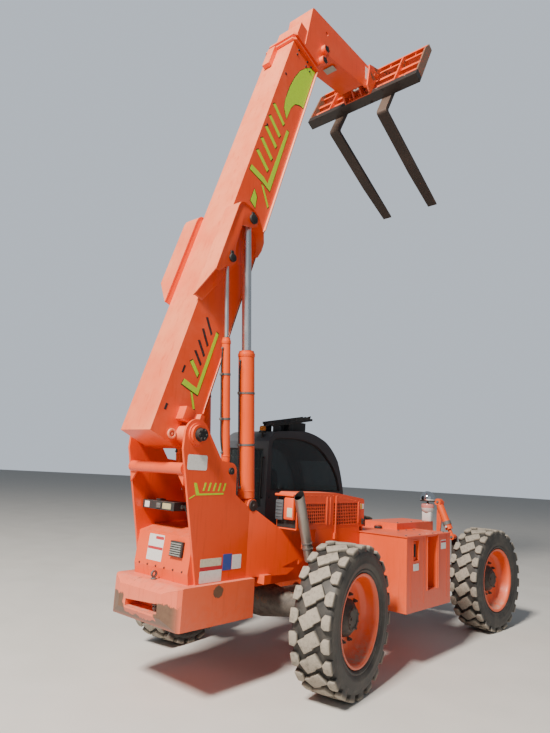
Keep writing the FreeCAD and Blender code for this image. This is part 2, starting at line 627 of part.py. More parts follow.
def tower():
    """Side plates that carry the boom's pivot and the cylinders, with flared wings."""
    profile = [
        ("frame_rear", "weight_top"), ("pivot_x - tower_round - 8", "pivot_z - 130"),
        ("pivot_x - tower_round", "pivot_z"),
        ("pivot_x + tower_round * 0.9", "pivot_z + tower_round * 0.436", "0 - tower_round"),
        ("slave_foot_x - 120", "slave_foot_z + slave_ear + 10"),
        ("slave_foot_x", "slave_foot_z + slave_ear"),
        ("slave_foot_x + slave_ear", "slave_foot_z", "0 - slave_ear"),
        ("slave_foot_x + 84", "slave_foot_z - 210"),
        ("lift_foot_x - 72", "lift_foot_z - 4"), ("lift_foot_x - 40", "lift_foot_z - 10"),
        ("lift_foot_x - 40", "weight_top")]
    wing_shape = slab("wing_shape", "side", [
        ("lift_foot_x - 40", "weight_top"), ("lift_foot_x - 40", "lift_foot_z - 10"),
        ("lift_foot_x + 48", "lift_foot_z - 49"), ("hood_rear", "hood_low - slack"),
        ("wing_front", "hood_low - slack"), ("wing_front", "1080"), ("wing_front - 200", "weight_top")],
        "0 - tower_outer - wing_flare", "tower_outer + wing_flare")
    pieces = [
        bar("tower_tube", "y", "tube_radius", "0 - frame_half", "frame_half",
            ("pivot_x - 88", "pivot_z - 297")),
        slab("tower_bulkhead", "side", [
            ("-640", "1400"), ("-620", "1400"), ("-790", "1800"), ("-810", "1800")],
            "0 - frame_half", "frame_half"),
    ]
    for side in (1, -1):
        near, far = span(side, "frame_half", "tower_outer")
        pieces.append(slab("tower_plate_%d" % side, "side", profile, near, far))
        flare = slab("tower_flare_%d" % side, "plan", sided(side, [
            ("lift_foot_x - 40", "frame_half"), ("wing_front", "tower_outer + wing_flare - tower_plate"),
            ("wing_front", "tower_outer + wing_flare"), ("lift_foot_x - 40", "tower_outer")]),
            "weight_top", "lift_foot_z - 10")
        pieces.append(common("tower_wing_%d" % side, [flare, wing_shape]))
        pieces.append(bar("lift_ear_%d" % side, "y", "lift_pin + 24", near, far,
                          ("lift_foot_x", "lift_foot_z")))
        for name, radius, reach in (("collar", "pivot_radius + 42", "14"),
                                    ("boss", "pivot_radius + 26", "38")):
            ends = span(side, "tower_outer", "tower_outer + " + reach)
            pieces.append(bar("tower_%s_%d" % (name, side), "y", radius, ends[0], ends[1],
                              ("pivot_x", "pivot_z")))
        corner = "%d * frame_half" % side
        inward = "%d * (frame_half - 95)" % side
        gusset = [(corner, "pivot_z - 440"), (corner, "pivot_z - 330"), (inward, "pivot_z - 330")]
        pieces.append(slab("tower_gusset_%d" % side, "end", gusset if side < 0 else gusset[::-1],
                           "pivot_x - 98", "pivot_x - 78"))
        foot = span(side, "tower_outer", "tower_outer + 100")
        pieces.append(slab("tower_bracket_%d" % side, "side", [
            ("-430", "weight_top - 60"), ("-330", "weight_top - 60"), ("-330", "weight_top + 20"),
            ("-430", "weight_top + 20")], foot[0], foot[1]))
    holes = [bar("tower_%s_bore" % kind, "y", kind + " + seat_gap", "0 - tower_outer - 60",
                 "tower_outer + 60", place) for kind, place in (
        ("pivot_radius", ("pivot_x", "pivot_z")), ("lift_pin", ("lift_foot_x", "lift_foot_z")),
        ("slave_pin", ("slave_foot_x", "slave_foot_z")))]
    for side in (1, -1):
        ends = span(side, "tower_outer", "tower_outer + 60")
        holes.append(bar("foot_cap_room_%d" % side, "y", "lift_pin + 16", ends[0], ends[1],
                         ("lift_foot_x", "lift_foot_z")))
    holes.append(slab("wing_window", "side", [
        ("-165", "1019"), ("37", "1002"), ("30", "1089")],
        "0 - tower_outer - wing_flare - 10", "tower_outer + wing_flare + 10"))
    keep("tower", cut("tower_bored", fuse("tower_weld", pieces), holes))


def counterweight():
    """Cast block behind the rear axle with a pocket for the towing pin."""
    plan = slab("weight_plan", "plan", [
        ("weight_front", "0 - weight_half"), ("weight_front", "weight_half"),
        ("weight_rear + 30", "weight_half"), ("weight_rear", "weight_half - 30"),
        ("weight_rear - weight_bulge", "290"), ("weight_rear - weight_bulge", "-290"),
        ("weight_rear", "30 - weight_half"), ("weight_rear + 30", "0 - weight_half")],
        "weight_low", "weight_top")
    side = slab("weight_side", "side", [
        ("weight_rear - weight_bulge", "weight_low + 90"), ("weight_rear + 10", "weight_low"),
        ("weight_front", "weight_low"), ("weight_front", "weight_top"),
        ("weight_rear + 75", "weight_top"),
        ("weight_rear - weight_bulge", "weight_top - weight_round", "weight_round * 2.5")],
        "0 - weight_half", "weight_half")
    pocket = slab("weight_pocket", "end", [
        ("-246", "weight_low + 110"), ("191", "weight_low + 110"), ("191", "weight_low + 165"),
        ("-246", "weight_low + 195")], "weight_rear - weight_bulge - 10", "weight_rear + 90")
    keep("counterweight", cut("weight_cut", common("weight_cast", [plan, side]), [pocket]))
    eye = ("eye_x", "weight_top + 45")
    keep("lifting_eye", fuse("eye_weld", [
        bar("eye_foot", "z", "26", "weight_top", "weight_top + 10", ("eye_x", "0")),
        bar("eye_shank", "z", "12", "weight_top", "weight_top + 22", ("eye_x", "0")),
        cut("eye_ring", bar("eye_disc", "y", "30", "-9", "9", eye),
            [bar("eye_hole", "y", "18", "-20", "20", eye)])]))
    keep("hitch_pin", fuse("hitch_weld", [
        bar("hitch_shank", "z", "16", "weight_low + 110", "weight_low + 186", ("weight_rear + 20", "-140")),
        bar("hitch_head", "z", "26", "weight_low + 130", "weight_low + 150",
            ("weight_rear + 20", "-140"))]))


def along_boom():
    """Placement of what is drawn along the boom."""
    return dict(x="rear_axle_x + pivot_x", z="pivot_z", lean="boom_angle")


def ring_collar(name, start, finish, half, low, top, rim):
    """A flanged collar around a boom section of the given half width, underside and top."""
    return cut(name, slab(name + "_plate", "end", [
        ("0 - %s - %s" % (half, rim), "%s - %s + 40" % (low, rim)),
        ("0 - %s - %s + 40" % (half, rim), "%s - %s" % (low, rim)),
        ("%s + %s - 40" % (half, rim), "%s - %s" % (low, rim)),
        ("%s + %s" % (half, rim), "%s - %s + 40" % (low, rim)),
        ("%s + %s" % (half, rim), "%s + %s - 40" % (top, rim)),
        ("%s + %s - 40" % (half, rim), "%s + %s" % (top, rim)),
        ("0 - %s - %s + 40" % (half, rim), "%s + %s" % (top, rim)),
        ("0 - %s - %s" % (half, rim), "%s + %s - 40" % (top, rim))], start, finish),
        [block(name + "_inside", (start + " - 10", "0 - " + half, low),
               (finish + " + 10", half, top))])


def wear_pads(name, end, half, low, top):
    """Pads inside a boom section's front end, on its two sides, its floor and its top."""
    thick = "(boom_gap - seat_gap)"
    pads = []
    for side in (1, -1):
        near, far = span(side, "%s - %s" % (half, thick), half)
        pads.append(block("%s_side_%d" % (name, side), (end + " - 180", near, low + " + 60"),
                          (end, far, low + " + 180")))
        near, far = span(side, half + " - 130", half + " - 30")
        pads.append(block("%s_low_%d" % (name, side), (end + " - 180", near, low),
                          (end, far, "%s + %s" % (low, thick))))
        pads.append(block("%s_top_%d" % (name, side), (end + " - 180", near,
                          "%s - %s" % (top, thick)), (end, far, top)))
    return pads


def boom_base():
    """Base section: a plated box with a chamfered tail, a bottom lip and a front collar."""
    shell = slab("base_shell", "side", [
        ("boom_tail", "boom_top"), ("boom_tail - 30", "60"), ("boom_tail - 10", "-60"),
        ("-30", "-115", "150"), ("60", "boom_low"), ("boom_length", "boom_low"),
        ("boom_length", "boom_top")], "0 - boom_half", "boom_half")
    hollow = block("base_hollow", ("200", "0 - boom_inner", "boom_low + boom_wall"),
                   ("boom_length + 10", "boom_inner", "boom_top - boom_wall"))
    lip = block("base_lip", ("260", "0 - boom_half - boom_lip", "boom_low - 4"),
                ("boom_length - collar", "boom_half + boom_lip", "boom_low + 8"))
    pieces = [shell, lip, ring_collar("base_collar", "boom_length - collar", "boom_length",
                                      "boom_half", "boom_low", "boom_top", "collar_rim")]
    for side in (1, -1):
        ends = span(side, "boom_half", "frame_half - slack")
        pieces.append(bar("base_boss_%d" % side, "y", "pivot_radius + 30", ends[0], ends[1],
                          ("0", "0")))
        stop = span(side, "boom_half", "boom_half + 60")
        pieces.append(block("tail_stop_%d" % side, ("120", stop[0], "-115"),
                            ("230", stop[1], "-70")))
    # raised tray on the top at the front, where the hoses leave
    pieces.append(block("hose_tray", ("boom_length - 330", "40", "boom_top"),
                        ("boom_length - collar", "150", "boom_top + 60")))
    bore = bar("base_bore", "y", "pivot_radius + seat_gap", "0 - frame_half", "frame_half",
               ("0", "0"))
    tube = cut("base_bored", fuse("base_weld", pieces), [bore, hollow])
    pads = wear_pads("base_pad", "boom_length", "boom_inner", "(boom_low + boom_wall)",
                     "(boom_top - boom_wall)")
    keep("boom_base", fuse("base_padded", [tube] + pads), **along_boom())
    keep("boom_pivot_pin", fuse("pivot_weld", [
        bar("pivot_pin", "y", "pivot_radius", "0 - tower_outer - 38", "tower_outer + 38",
            ("pivot_x", "pivot_z")),
        bar("pivot_cap", "y", "pivot_radius - 6", "0 - tower_outer - 78", "tower_outer + 78",
            ("pivot_x", "pivot_z"))]))


def cylinder_pods():
    """A bent cover on each side of the boom that holds the upper pins of the cylinders."""
    side_shape = slab("pod_side_shape", "side", [
        ("1100", "pod_top"), ("1830", "70"), ("1960", "40"), ("2120", "60"), ("2250", "160"),
        ("2310", "290"), ("2310", "pod_top - 70"), ("2240", "pod_top", "70")],
        "0 - pod_half", "pod_half")
    pods = []
    for name, side in (("left", 1), ("right", -1)):
        hook = [
            ("%d * boom_half" % side, "boom_top - 60"), ("%d * boom_half" % side, "pod_top"),
            ("%d * (pod_half - pod_bend)" % side, "pod_top"),
            ("%d * pod_half" % side, "pod_top - pod_bend", "%d * pod_bend" % -side),
            ("%d * pod_half" % side, "0"), ("%d * (pod_half - pod_plate)" % side, "0"),
            ("%d * (pod_half - pod_plate)" % side, "pod_top - pod_bend"),
            ("%d * (pod_half - pod_bend)" % side, "pod_top - pod_plate",
             "%d * (pod_bend - pod_plate)" % side),
            ("%d * (boom_half + pod_plate)" % side, "pod_top - pod_plate"),
            ("%d * (boom_half + pod_plate)" % side, "boom_top - 60")]
        bent = slab("pod_bent_" + name, "end", hook, "1100", "2310")
        corner = slab("pod_plan_" + name, "plan", sided(side, [
            ("1240", "boom_half"), ("2310", "boom_half"), ("2310", "pod_half"),
            ("1500", "pod_half")]), "0", "pod_top")
        pieces = [common("pod_wrap_" + name, [bent, side_shape, corner])]
        for kind in ("lift", "slave"):
            ends = span(side, "pod_half - 2", "pod_half + 12")
            pieces.append(bar("%s_cap_%s" % (kind, name), "y", kind + "_pin + 8", ends[0], ends[1],
                              (kind + "_eye_s", kind + "_eye_n")))
        pods.append(fuse("pod_weld_" + name, pieces))
    keep("cylinder_pods", group("pod_pair", pods), **along_boom())


def boom_sections():
    """Middle section and fly section, with the gooseneck head on the fly's end."""
    middle = cut("mid_tube", block("mid_shell", ("middle_start", "0 - mid_half", "mid_low"),
                                   ("mid_end", "mid_half", "mid_top")),
                 [block("mid_hollow",
                        ("middle_start - 10", "0 - mid_half + boom_wall", "mid_low + boom_wall"),
                        ("mid_end + 10", "mid_half - boom_wall", "mid_top - boom_wall"))])
    ring = ring_collar("mid_collar", "mid_end - collar - 5", "mid_end", "mid_half", "mid_low",
                       "mid_top", "collar_rim + boom_gap")
    pads = wear_pads("mid_pad", "mid_end", "(mid_half - boom_wall)", "(mid_low + boom_wall)",
                     "(mid_top - boom_wall)")
    keep("boom_middle", fuse("mid_weld", [middle, ring] + pads), **along_boom())
    fly = cut("fly_tube", block("fly_shell", ("fly_start", "0 - fly_half", "fly_low"),
                                ("boom_length + 400", "fly_half", "fly_top")),
              [block("fly_hollow", ("fly_start - 10", "0 - fly_half + boom_wall", "fly_low + boom_wall"),
                     ("boom_length + 300", "fly_half - boom_wall", "fly_top - boom_wall"))])
    fly.Placement.Rotation = FreeCAD.Rotation(FreeCAD.Vector(0, -1, 0), number("boom_angle"))
    bind(fly, Placement__Rotation__Angle="boom_angle", Placement__Base__x="pivot_x",
         Placement__Base__z="pivot_z")
    keep("boom_fly", fuse("fly_weld", [fly, gooseneck()]))


def gooseneck():
    """Gooseneck on the fly section's end: a box that is open at its front end."""
    shell = slab("head_shell", "side", [
        ("0", "0"), ("40", "20", "-60"), ("head_reach - 30", "20"), ("head_reach", "-30"),
        ("head_reach", "-150"), ("head_reach - 60", "-260"),
        ("head_reach - 260", "70 - head_depth"), ("370", "0 - head_depth - 20"),
        ("160", "0 - head_depth - 300"), ("-120", "0 - head_depth - 200")],
        "0 - head_half", "head_half")
    inner = "(head_half - head_plate)"
    hollow = slab("head_hollow", "side", [
        ("380", "-20"), ("380", "10 - head_depth"), ("head_reach - 340", "90 - head_depth"),
        ("head_reach - 330", "0 - head_depth - 40"), ("head_reach + 100", "0 - head_depth"),
        ("head_reach + 100", "-10")], "0 - " + inner, inner)
    holes = [
        hollow,
        block("head_slot", ("head_reach - 340", "0 - " + inner, "0 - head_depth - 60"),
              ("head_reach + 60", inner, "-100")),
        bar("head_pin_hole", "y", "tilt_pin + seat_gap", "0 - head_half - 10", "head_half + 10",
            ("tilt_u", "0 - tilt_drop")),
        bar("head_side_hole", "y", "26", "0 - head_half - 10", "8 - head_half",
            ("317", "-158")),
    ]
    opened = cut("head_cut", shell, holes)
    pieces = [opened, bar("head_ram_pin", "y", "ram_pin", "10 - head_half", "head_half - 10",
                          ("ram_foot_u", "0 - ram_foot_drop"))]
    for index, (along, drop) in enumerate((("268", "447"), ("236", "631"))):
        pieces.append(bar("head_cap_%d" % index, "y", "62", "0 - head_half - 55", "head_half + 55",
                          (along, "0 - " + drop)))
    neck = fuse("head_weld", pieces)
    return bind(neck, Placement__Base__x="head_x", Placement__Base__z="head_z")


def cylinder(node, kind, side, foot):
    """A hydraulic cylinder between two pins. The rod's eye carries its own pin."""
    offset = "%d * %s_y" % (side, kind) if side else "0"
    half = kind + "_barrel * 0.72"
    stroke_start = kind + "_length - rod_hold" if side else "ram_pin * 3.4 + 60"
    place = dict(x="rear_axle_x + " + foot[0], y=offset, z=foot[1], lean=kind + "_lean")
    barrel = cut(node + "_barrel_bored", fuse(node + "_barrel_weld", [
        bar(node + "_tube", "x", kind + "_barrel", kind + "_pin * 1.75", kind + "_length",
            ("0", "0")),
        bar(node + "_gland", "x", kind + "_barrel * 0.93", kind + "_length - 40",
            kind + "_length + 18", ("0", "0")),
        bar(node + "_foot", "y", kind + "_pin * 1.8", "0 - " + half, half, ("0", "0")),
    ]), [
        bar(node + "_foot_bore", "y", kind + "_pin + seat_gap", "0 - %s_barrel" % kind,
            kind + "_barrel", ("0", "0")),
        bar(node + "_tube_bore", "x", kind + "_rod + seat_gap", kind + "_pin * 3",
            kind + "_length + 30", ("0", "0")),
    ])
    keep(node + "_barrel", barrel, **place)
    inner = "boom_half + pod_plate + slack - %s_y" % kind
    outer = "pod_half - pod_plate - slack - %s_y" % kind
    pin_ends = {"lift": (inner, outer), "slave": (inner, outer),
                "ram": ("slack - ram_lug", "ram_lug - slack")}[kind]
    ends = pin_ends if side >= 0 else span(-1, *pin_ends)
    rod = fuse(node + "_rod_weld", [
        bar(node + "_shaft", "x", kind + "_rod", stroke_start, "%s_span - %s_pin" % (kind, kind),
            ("0", "0")),
        bar(node + "_eye", "y", kind + "_pin * 1.7", "0 - " + half, half, (kind + "_span", "0")),
        bar(node + "_eye_pin", "y", kind + "_pin", ends[0], ends[1], (kind + "_span", "0")),
    ])
    keep(node + "_rod", rod, **place)


def cylinders():
    """Lift and levelling cylinders on both sides of the boom, and the tilt cylinder."""
    for name, side in (("left", 1), ("right", -1)):
        cylinder("lift_" + name, "lift", side, ("lift_foot_x", "lift_foot_z"))
        cylinder("slave_" + name, "slave", side, ("slave_foot_x", "slave_foot_z"))
    cylinder("tilt", "ram", 0, ("ram_foot_x", "ram_foot_z"))
    pins = []
    for kind in ("lift", "slave"):
        foot = (kind + "_foot_x", kind + "_foot_z")
        shaft = bar(kind + "_foot_shaft", "y", kind + "_pin", "0 - tower_outer", "tower_outer", foot)
        caps = [bar("%s_foot_cap_%d" % (kind, side), "y", kind + "_pin + 12",
                    *span(side, "tower_outer", "tower_outer + 16"), foot) for side in (1, -1)]
        pins.append(fuse(kind + "_foot_pin", [shaft] + caps))
    keep("cylinder_foot_pins", group("foot_pins", pins))


def carriage():
    """Fork carriage: a heavy lower bar, a slatted frame, uprights and hanger plates."""
    place = dict(x="rear_axle_x + tilt_x", z="tilt_z", lean="0 - fork_tilt")
    rails = [
        # name, underside, top, back of the rail ahead of the carriage's back
        ("bar", "0 - carriage_down", "110 - carriage_down", "0"),
        ("low", "240 - carriage_down", "300 - carriage_down", "60"),
        ("mid", "60", "120", "60"),
        ("high", "carriage_up - 150", "carriage_up - 110", "60"),
        ("top", "carriage_up - 30", "carriage_up", "40"),
    ]
    pieces = []
    for name, low, high, inset in rails:
        pieces.append(block("rail_" + name, ("carriage_back + " + inset, "0 - carriage_half", low),
                            ("shank_back", "carriage_half", high)))
    upright = [
        ("carriage_back", "0 - carriage_down"), ("shank_back", "0 - carriage_down"),
        ("shank_back", "carriage_up"), ("carriage_back + 50", "carriage_up"),
        ("carriage_back", "carriage_up - 130")]
    for index, place_y in enumerate(("carriage_half - 12", "560", "-560", "12 - carriage_half")):
        pieces.append(slab("upright_%d" % index, "side", upright, place_y + " - 12",
                           place_y + " + 12"))
    for index in range(8):
        middle = "carriage_half * %.2f" % (0.22 * index - 0.77)
        pieces.append(block("slat_%d" % index, ("carriage_back + 70", middle + " - 8", "carriage_up - 112"),
                            ("shank_back - 30", middle + " + 8", "carriage_up - 28")))
    keep("fork_carriage", fuse("carriage_weld", pieces), **place)
    # hanger plates beside the head, seated on the back of the frame
    hanger = [
        ("-174", "13"), ("-150", "-40"), ("-60", "-carriage_down + 40"),
        ("carriage_back - 40", "0 - carriage_down"), ("carriage_back", "0 - carriage_down"),
        ("carriage_back", "carriage_up - 140"), ("carriage_back - 60", "170"), ("-110", "72")]
    hangers = []
    for side in (1, -1):
        near, far = span(side, "hanger_in", "hanger_out")
        hangers.append(slab("hanger_%d" % side, "side", hanger, near, far))
        near, far = span(side, "ram_lug", "ram_lug + 20")
        hangers.append(slab("ram_lug_%d" % side, "side", [
            ("-95", "-215"), ("-60", "-300"), ("carriage_back", "-350"), ("carriage_back", "-150"),
            ("-60", "-165")], near, far))
        near, far = span(side, "ram_lug + 18", "ram_lug + 30")
        hangers.append(bar("ram_cap_%d" % side, "y", "ram_pin + 8", near, far, (
            "ram_eye_drop * sin(fork_tilt) - ram_eye_back * cos(fork_tilt)",
            "0 - ram_eye_drop * cos(fork_tilt) - ram_eye_back * sin(fork_tilt)")))
    hangers.append(bar("carriage_pin", "y", "tilt_pin", "0 - hanger_out - 10", "hanger_out + 10",
                       ("0", "0")))
    hangers.append(block("hanger_tie", ("carriage_back - 16", "0 - hanger_in", "0 - carriage_down"),
                         ("carriage_back", "hanger_in", "90 - carriage_down")))
    keep("carriage_hanger", fuse("hanger_weld", hangers), **place)
    tines = []
    for side in (1, -1):
        near, far = span(side, "fork_y - fork_half", "fork_y + fork_half")
        tines.append(slab("tine_%d" % side, "side", [
            ("shank_back", "carriage_up - 100"), ("shank_back", "50 - heel_down"),
            ("shank_back + 50", "0 - heel_down", "50"),
            ("shank_back + fork_length * 0.6", "0 - heel_down"),
            ("shank_back + fork_length", "fork_thick - 12 - heel_down"),
            ("shank_back + fork_length - 30", "fork_thick - heel_down"),
            ("shank_back + fork_thick + 30", "fork_thick - heel_down"),
            ("shank_back + fork_thick", "fork_thick + 30 - heel_down", "-30"),
            ("shank_back + fork_thick", "carriage_up - 100")], near, far))
    keep("forks", group("fork_pair", tines), **place)


def hood_profile(inset):
    """Side view of the engine hood, drawn in by inset above and at its ends."""
    return [
        ("hood_rear + " + inset, "hood_low"), ("hood_front - " + inset, "hood_low"),
        ("hood_front - " + inset, "hood_top - hood_slope - 30 - " + inset),
        ("hood_front - 30 - " + inset, "hood_top - hood_slope - " + inset, "30"),
        ("470", "hood_top - " + inset), ("hood_rear + 60 + " + inset, "hood_top - " + inset),
        ("hood_rear + " + inset, "hood_top - 60 - " + inset, "60")]


GRILLES = [
    # name, rear edge, columns of holes, lower edge, rows of holes
    ("rear", "-61", 10, "1440", 6),
    ("front", "409", 14, "1415", 7),
]


# Lugs that carry the hood's hinge pins: right face, left face
HOOD_LUGS = [("hood_right + 40", "hood_right + 60"), ("hood_left - 60", "hood_left - 40")]


def engine():
    """Engine block under a hinged hood with two grilles, on a tray beside the frame."""
    keep("engine_block", block("engine_mass", ("130", "hood_right + 15", "tray_arch + 10"),
                               ("tank_rear - 25", "hood_left - 15", "hood_top - 110")))
    shell = slab("hood_shell", "side", hood_profile("0"), "hood_right", "hood_left")
    hollow = slab("hood_hollow", "side", hood_profile("sheet_metal"), "hood_right + sheet_metal",
                  "hood_left - sheet_metal")
    mouth = block("hood_mouth", ("hood_rear + sheet_metal", "hood_right + sheet_metal", "hood_low - 10"),
                  ("hood_front - sheet_metal", "hood_left - sheet_metal", "hood_low + 10"))
    cuts = [hollow, mouth]
    sheets = []
    for name, rear, columns, low, rows in GRILLES:
        wide = "(%d * grille_pitch)" % columns
        tall = "(%d * grille_pitch)" % rows
        cuts.append(block("grille_%s_window" % name, (rear, "hood_right - 10", low),
                          ("%s + %s" % (rear, wide), "hood_right + 10", "%s + %s" % (low, tall))))
        holes = []
        for column in range(columns):
            for row in range(rows):
                left = "%s + %.1f * grille_pitch - grille_hole / 2" % (rear, column + 0.5)
                base = "%s + %.1f * grille_pitch - grille_hole / 2" % (low, row + 0.5)
                holes.append(block("grille_%s_hole_%d_%d" % (name, column, row),
                                   (left, "hood_right - 10", base),
                                   (left + " + grille_hole", "hood_right + 10",
                                    base + " + grille_hole")))
        plate = block("grille_%s_plate" % name, (rear, "hood_right", low),
                      ("%s + %s" % (rear, wide), "hood_right + grille_plate", "%s + %s" % (low, tall)))
        tool = group("grille_%s_holes" % name, holes)
        sheets.append(cut("grille_" + name, plate, [tool]))
    hood = [cut("hood_cut", shell, cuts)]
    hinge = ("hood_hinge_x", "hood_hinge_z")
    for index, (_, far) in enumerate(HOOD_LUGS):
        reach = "hinge_pin + hinge_wall"
        hood.append(cut("hood_knuckle_%d" % index, bar(
            "hood_barrel_%d" % index, "y", reach, far + " + seat_gap", far + " + 40", hinge),
            [bar("hood_barrel_bore_%d" % index, "y", "hinge_pin + seat_gap", far, far + " + 50",
                 hinge)]))
        hood.append(block("hood_strap_%d" % index, ("hood_front - 3", far + " + seat_gap",
                                                    "hood_low + 4"),
                          ("hood_front + 5", far + " + 40", "hood_low + 50")))
    keep("engine_hood", fuse("hood_weld", hood))
    keep("hood_grilles", group("grille_pair", sheets))
    rod = [block("pipe_bracket", ("-115", "hood_right - slack + seat_gap", "1210"),
                 ("160", "hood_right + 1", "1260")),
           bar("hood_rod", "z", "7", "tank_top", "hood_top - 25", ("430", "hood_right - 12")),
           block("hood_rod_foot", ("410", "hood_right - 24", "tank_top - 60"),
                 ("450", "hood_right + 1", "tank_top + 1"))]
    # the tray's rear part stays above the steered wheel
    tray = cut("tray_cut", slab("tray_shell", "side", [
        ("wing_front + 5", "tray_arch"), ("660", "tray_arch"), ("720", "frame_low + 260"),
        ("tank_rear - 10", "frame_low + 260"), ("tank_rear - 10", "hood_low - seat_gap"),
        ("wing_front + 5", "hood_low - seat_gap")], "hood_right", "0 - frame_half"), [
            slab("tray_hollow", "side", [
                ("wing_front + 15", "tray_arch + 10"), ("666", "tray_arch + 10"),
                ("726", "frame_low + 270"), ("tank_rear - 20", "frame_low + 270"),
                ("tank_rear - 20", "hood_low + 10"), ("wing_front + 15", "hood_low + 10")],
                "hood_right + 10", "10 - frame_half")])
    keep("engine_tray", fuse("tray_weld", rod + [tray]))
    # the pipe's open end is cut level with the ground
    pipe = cut("pipe_cut", bar("pipe_outer", "z", "pipe_radius", "0", "pipe_length", ("0", "0")), [
        bar("pipe_inner", "z", "pipe_radius - 5", "-5", "pipe_length + 10", ("0", "0")),
        slab("pipe_slice", "side", [
            ("0 - pipe_radius - 10", "pipe_length - 75"), ("pipe_radius + 10", "pipe_length - 5"),
            ("pipe_radius + 10", "pipe_length + 20"), ("0 - pipe_radius - 10", "pipe_length + 20")],
            "0 - pipe_radius - 10", "pipe_radius + 10")])
    keep("exhaust_pipe", pipe, x="rear_axle_x - 45", y="hood_right - pipe_radius - slack", z="1110",
         lean="pipe_lean")


def tank_box():
    """Tank and step box on the right with a raised deck, a handle pocket and a filler slot."""
    cabinet = slab("tank_shell", "side", [
        ("tank_rear", "tank_low + 15"), ("tank_front", "tank_low"), ("tank_front", "tank_top - 10"),
        ("tank_rear", "tank_top - 10")], "tank_right", "0 - frame_half")
    pieces = [
        cabinet,
        block("tank_lid", ("tank_rear - 10", "tank_right - 8", "tank_top - 10"),
              ("tank_front + 8", "0 - frame_half", "tank_top")),
        block("tank_deck", ("deck_rear", "deck_right", "tank_top - 220"),
              ("deck_front", "0 - frame_half", "deck_top")),
        bar("tank_cap", "z", "42", "tank_top", "tank_top + 34", ("1440", "deck_right + 210")),
    ]
    for index, along in enumerate(("1372", "1646")):
        pieces.append(block("slot_strip_%d" % index, (along, "tank_right - 8", "755"),
                            (along + " + 14", "tank_right", "tank_top - 10")))
    for index, (near, far) in enumerate(HOOD_LUGS):
        pieces.append(slab("hood_lug_%d" % index, "side", [
            ("hood_hinge_x - 10", "tank_top - 1"), ("hood_hinge_x + 30", "tank_top - 1"),
            ("hood_hinge_x + 14", "hood_hinge_z + 6"),
            ("hood_hinge_x - 10", "hood_hinge_z + 6", "16")],
            near, far))
        pieces.append(bar("hood_hinge_pin_%d" % index, "y", "hinge_pin", near, far + " + 44",
                          ("hood_hinge_x", "hood_hinge_z")))
    pockets = [
        block("handle_pocket", ("1060", "tank_right - 10", "1085"), ("1185", "tank_right + 70", "1290")),
        block("slot_pocket", ("1400", "tank_right - 10", "760"), ("1630", "tank_right + 120", "1315")),
    ]
    extras = [
        fuse("handle_weld", [
            bar("handle_grip", "z", "11", "1095", "1280", ("1122", "tank_right + 20")),
            block("handle_low", ("1112", "tank_right + 20", "1095"), ("1132", "tank_right + 71", "1110")),
            block("handle_high", ("1112", "tank_right + 20", "1265"), ("1132", "tank_right + 71", "1280"))]),
        fuse("filler_weld", [
            bar("filler_cap", "y", "36", "tank_right + 62", "tank_right + 92", ("1490", "1251")),
            bar("filler_neck", "y", "24", "tank_right + 90", "tank_right + 125", ("1490", "1251"))])]
    keep("tank_box", fuse("tank_weld", [cut("tank_cut", fuse("tank_body", pieces), pockets)] + extras))


def rear_boxes():
    """Valve box, lamp box and the tail lamp between the tower's plates."""
    keep("valve_box", block("valve_mass", ("-1230", "-80", "1530"), ("-1040", "frame_half", "1605")))
    shape = [
        ("-1250", "weight_top + seat_gap"), ("frame_rear - seat_gap", "weight_top + seat_gap"),
        ("frame_rear - seat_gap", "frame_top"), ("-620", "frame_top"), ("-620", "1400"),
        ("-1050", "1380"), ("-1235", "1330"), ("-1265", "weight_top + 90")]
    width = ("0 - frame_half + seat_gap", "frame_half - seat_gap")
    keep("lamp_box", slab("lamp_box_shell", "side", shape, *width))
    keep("tail_lamp", cut("tail_lamp_seated", fuse("tail_lamp_weld", [
        slab("tail_lamp_case", "side", [
            ("-1240", "1130"), ("-1290", "1135"), ("-1282", "1262"), ("-1230", "1262")],
            "-280", "-120"),
        slab("tail_lamp_lens", "side", [
            ("-1288", "1150"), ("-1300", "1152"), ("-1293", "1248"), ("-1281", "1248")],
            "-266", "-134")]), [slab("tail_lamp_seat", "side", shape, *width)]))


def cab_outline(inset):
    """Side view of the cab, drawn in by inset all round."""
    low = "cab_floor - cab_sill + " + inset
    return [
        ("cab_rear + " + inset, "1250 + %s / 2" % inset),
        ("cab_rear + 200 + %s / 2" % inset, low), ("2290 - " + inset, low),
        ("2290 - " + inset, "1250"),
        ("2240 - " + inset, "1700"),
        ("2090 - " + inset, "2110 - " + inset, "1500"),
        ("1780 - " + inset, "2365 - " + inset, "900"),
        ("1350", "2466 - " + inset, "1600"),
        ("cab_rear + 190 + " + inset, "2420 - " + inset, "3500"),
        ("cab_rear + " + inset, "2290 - " + inset, "260")]


# Side views of the cab's windows and of its door, front lower corner first
RIGHT_WINDOW = [
    ("cab_rear + 75", "1700"), ("2165", "1700"), ("2095", "1870", "1500"),
    ("1830", "2150", "900"), ("1560", "2300", "900"), ("1209", "2358", "1600"),
    ("cab_rear + 160", "2338", "2500"), ("cab_rear + 62", "2246", "110")]
DOOR_HOLE = [
    ("1190", "cab_floor"), ("2180", "cab_floor"), ("2140", "1680"), ("1990", "2060", "1500"),
    ("1700", "2300", "900"), ("1350", "2385", "1600"), ("1190", "2385")]
DOOR_WINDOW = [
    ("1262", "1330"), ("2085", "1330"), ("2055", "1660"), ("1920", "2000", "1500"),
    ("1660", "2230", "900"), ("1350", "2312", "1600"), ("1262", "2312")]


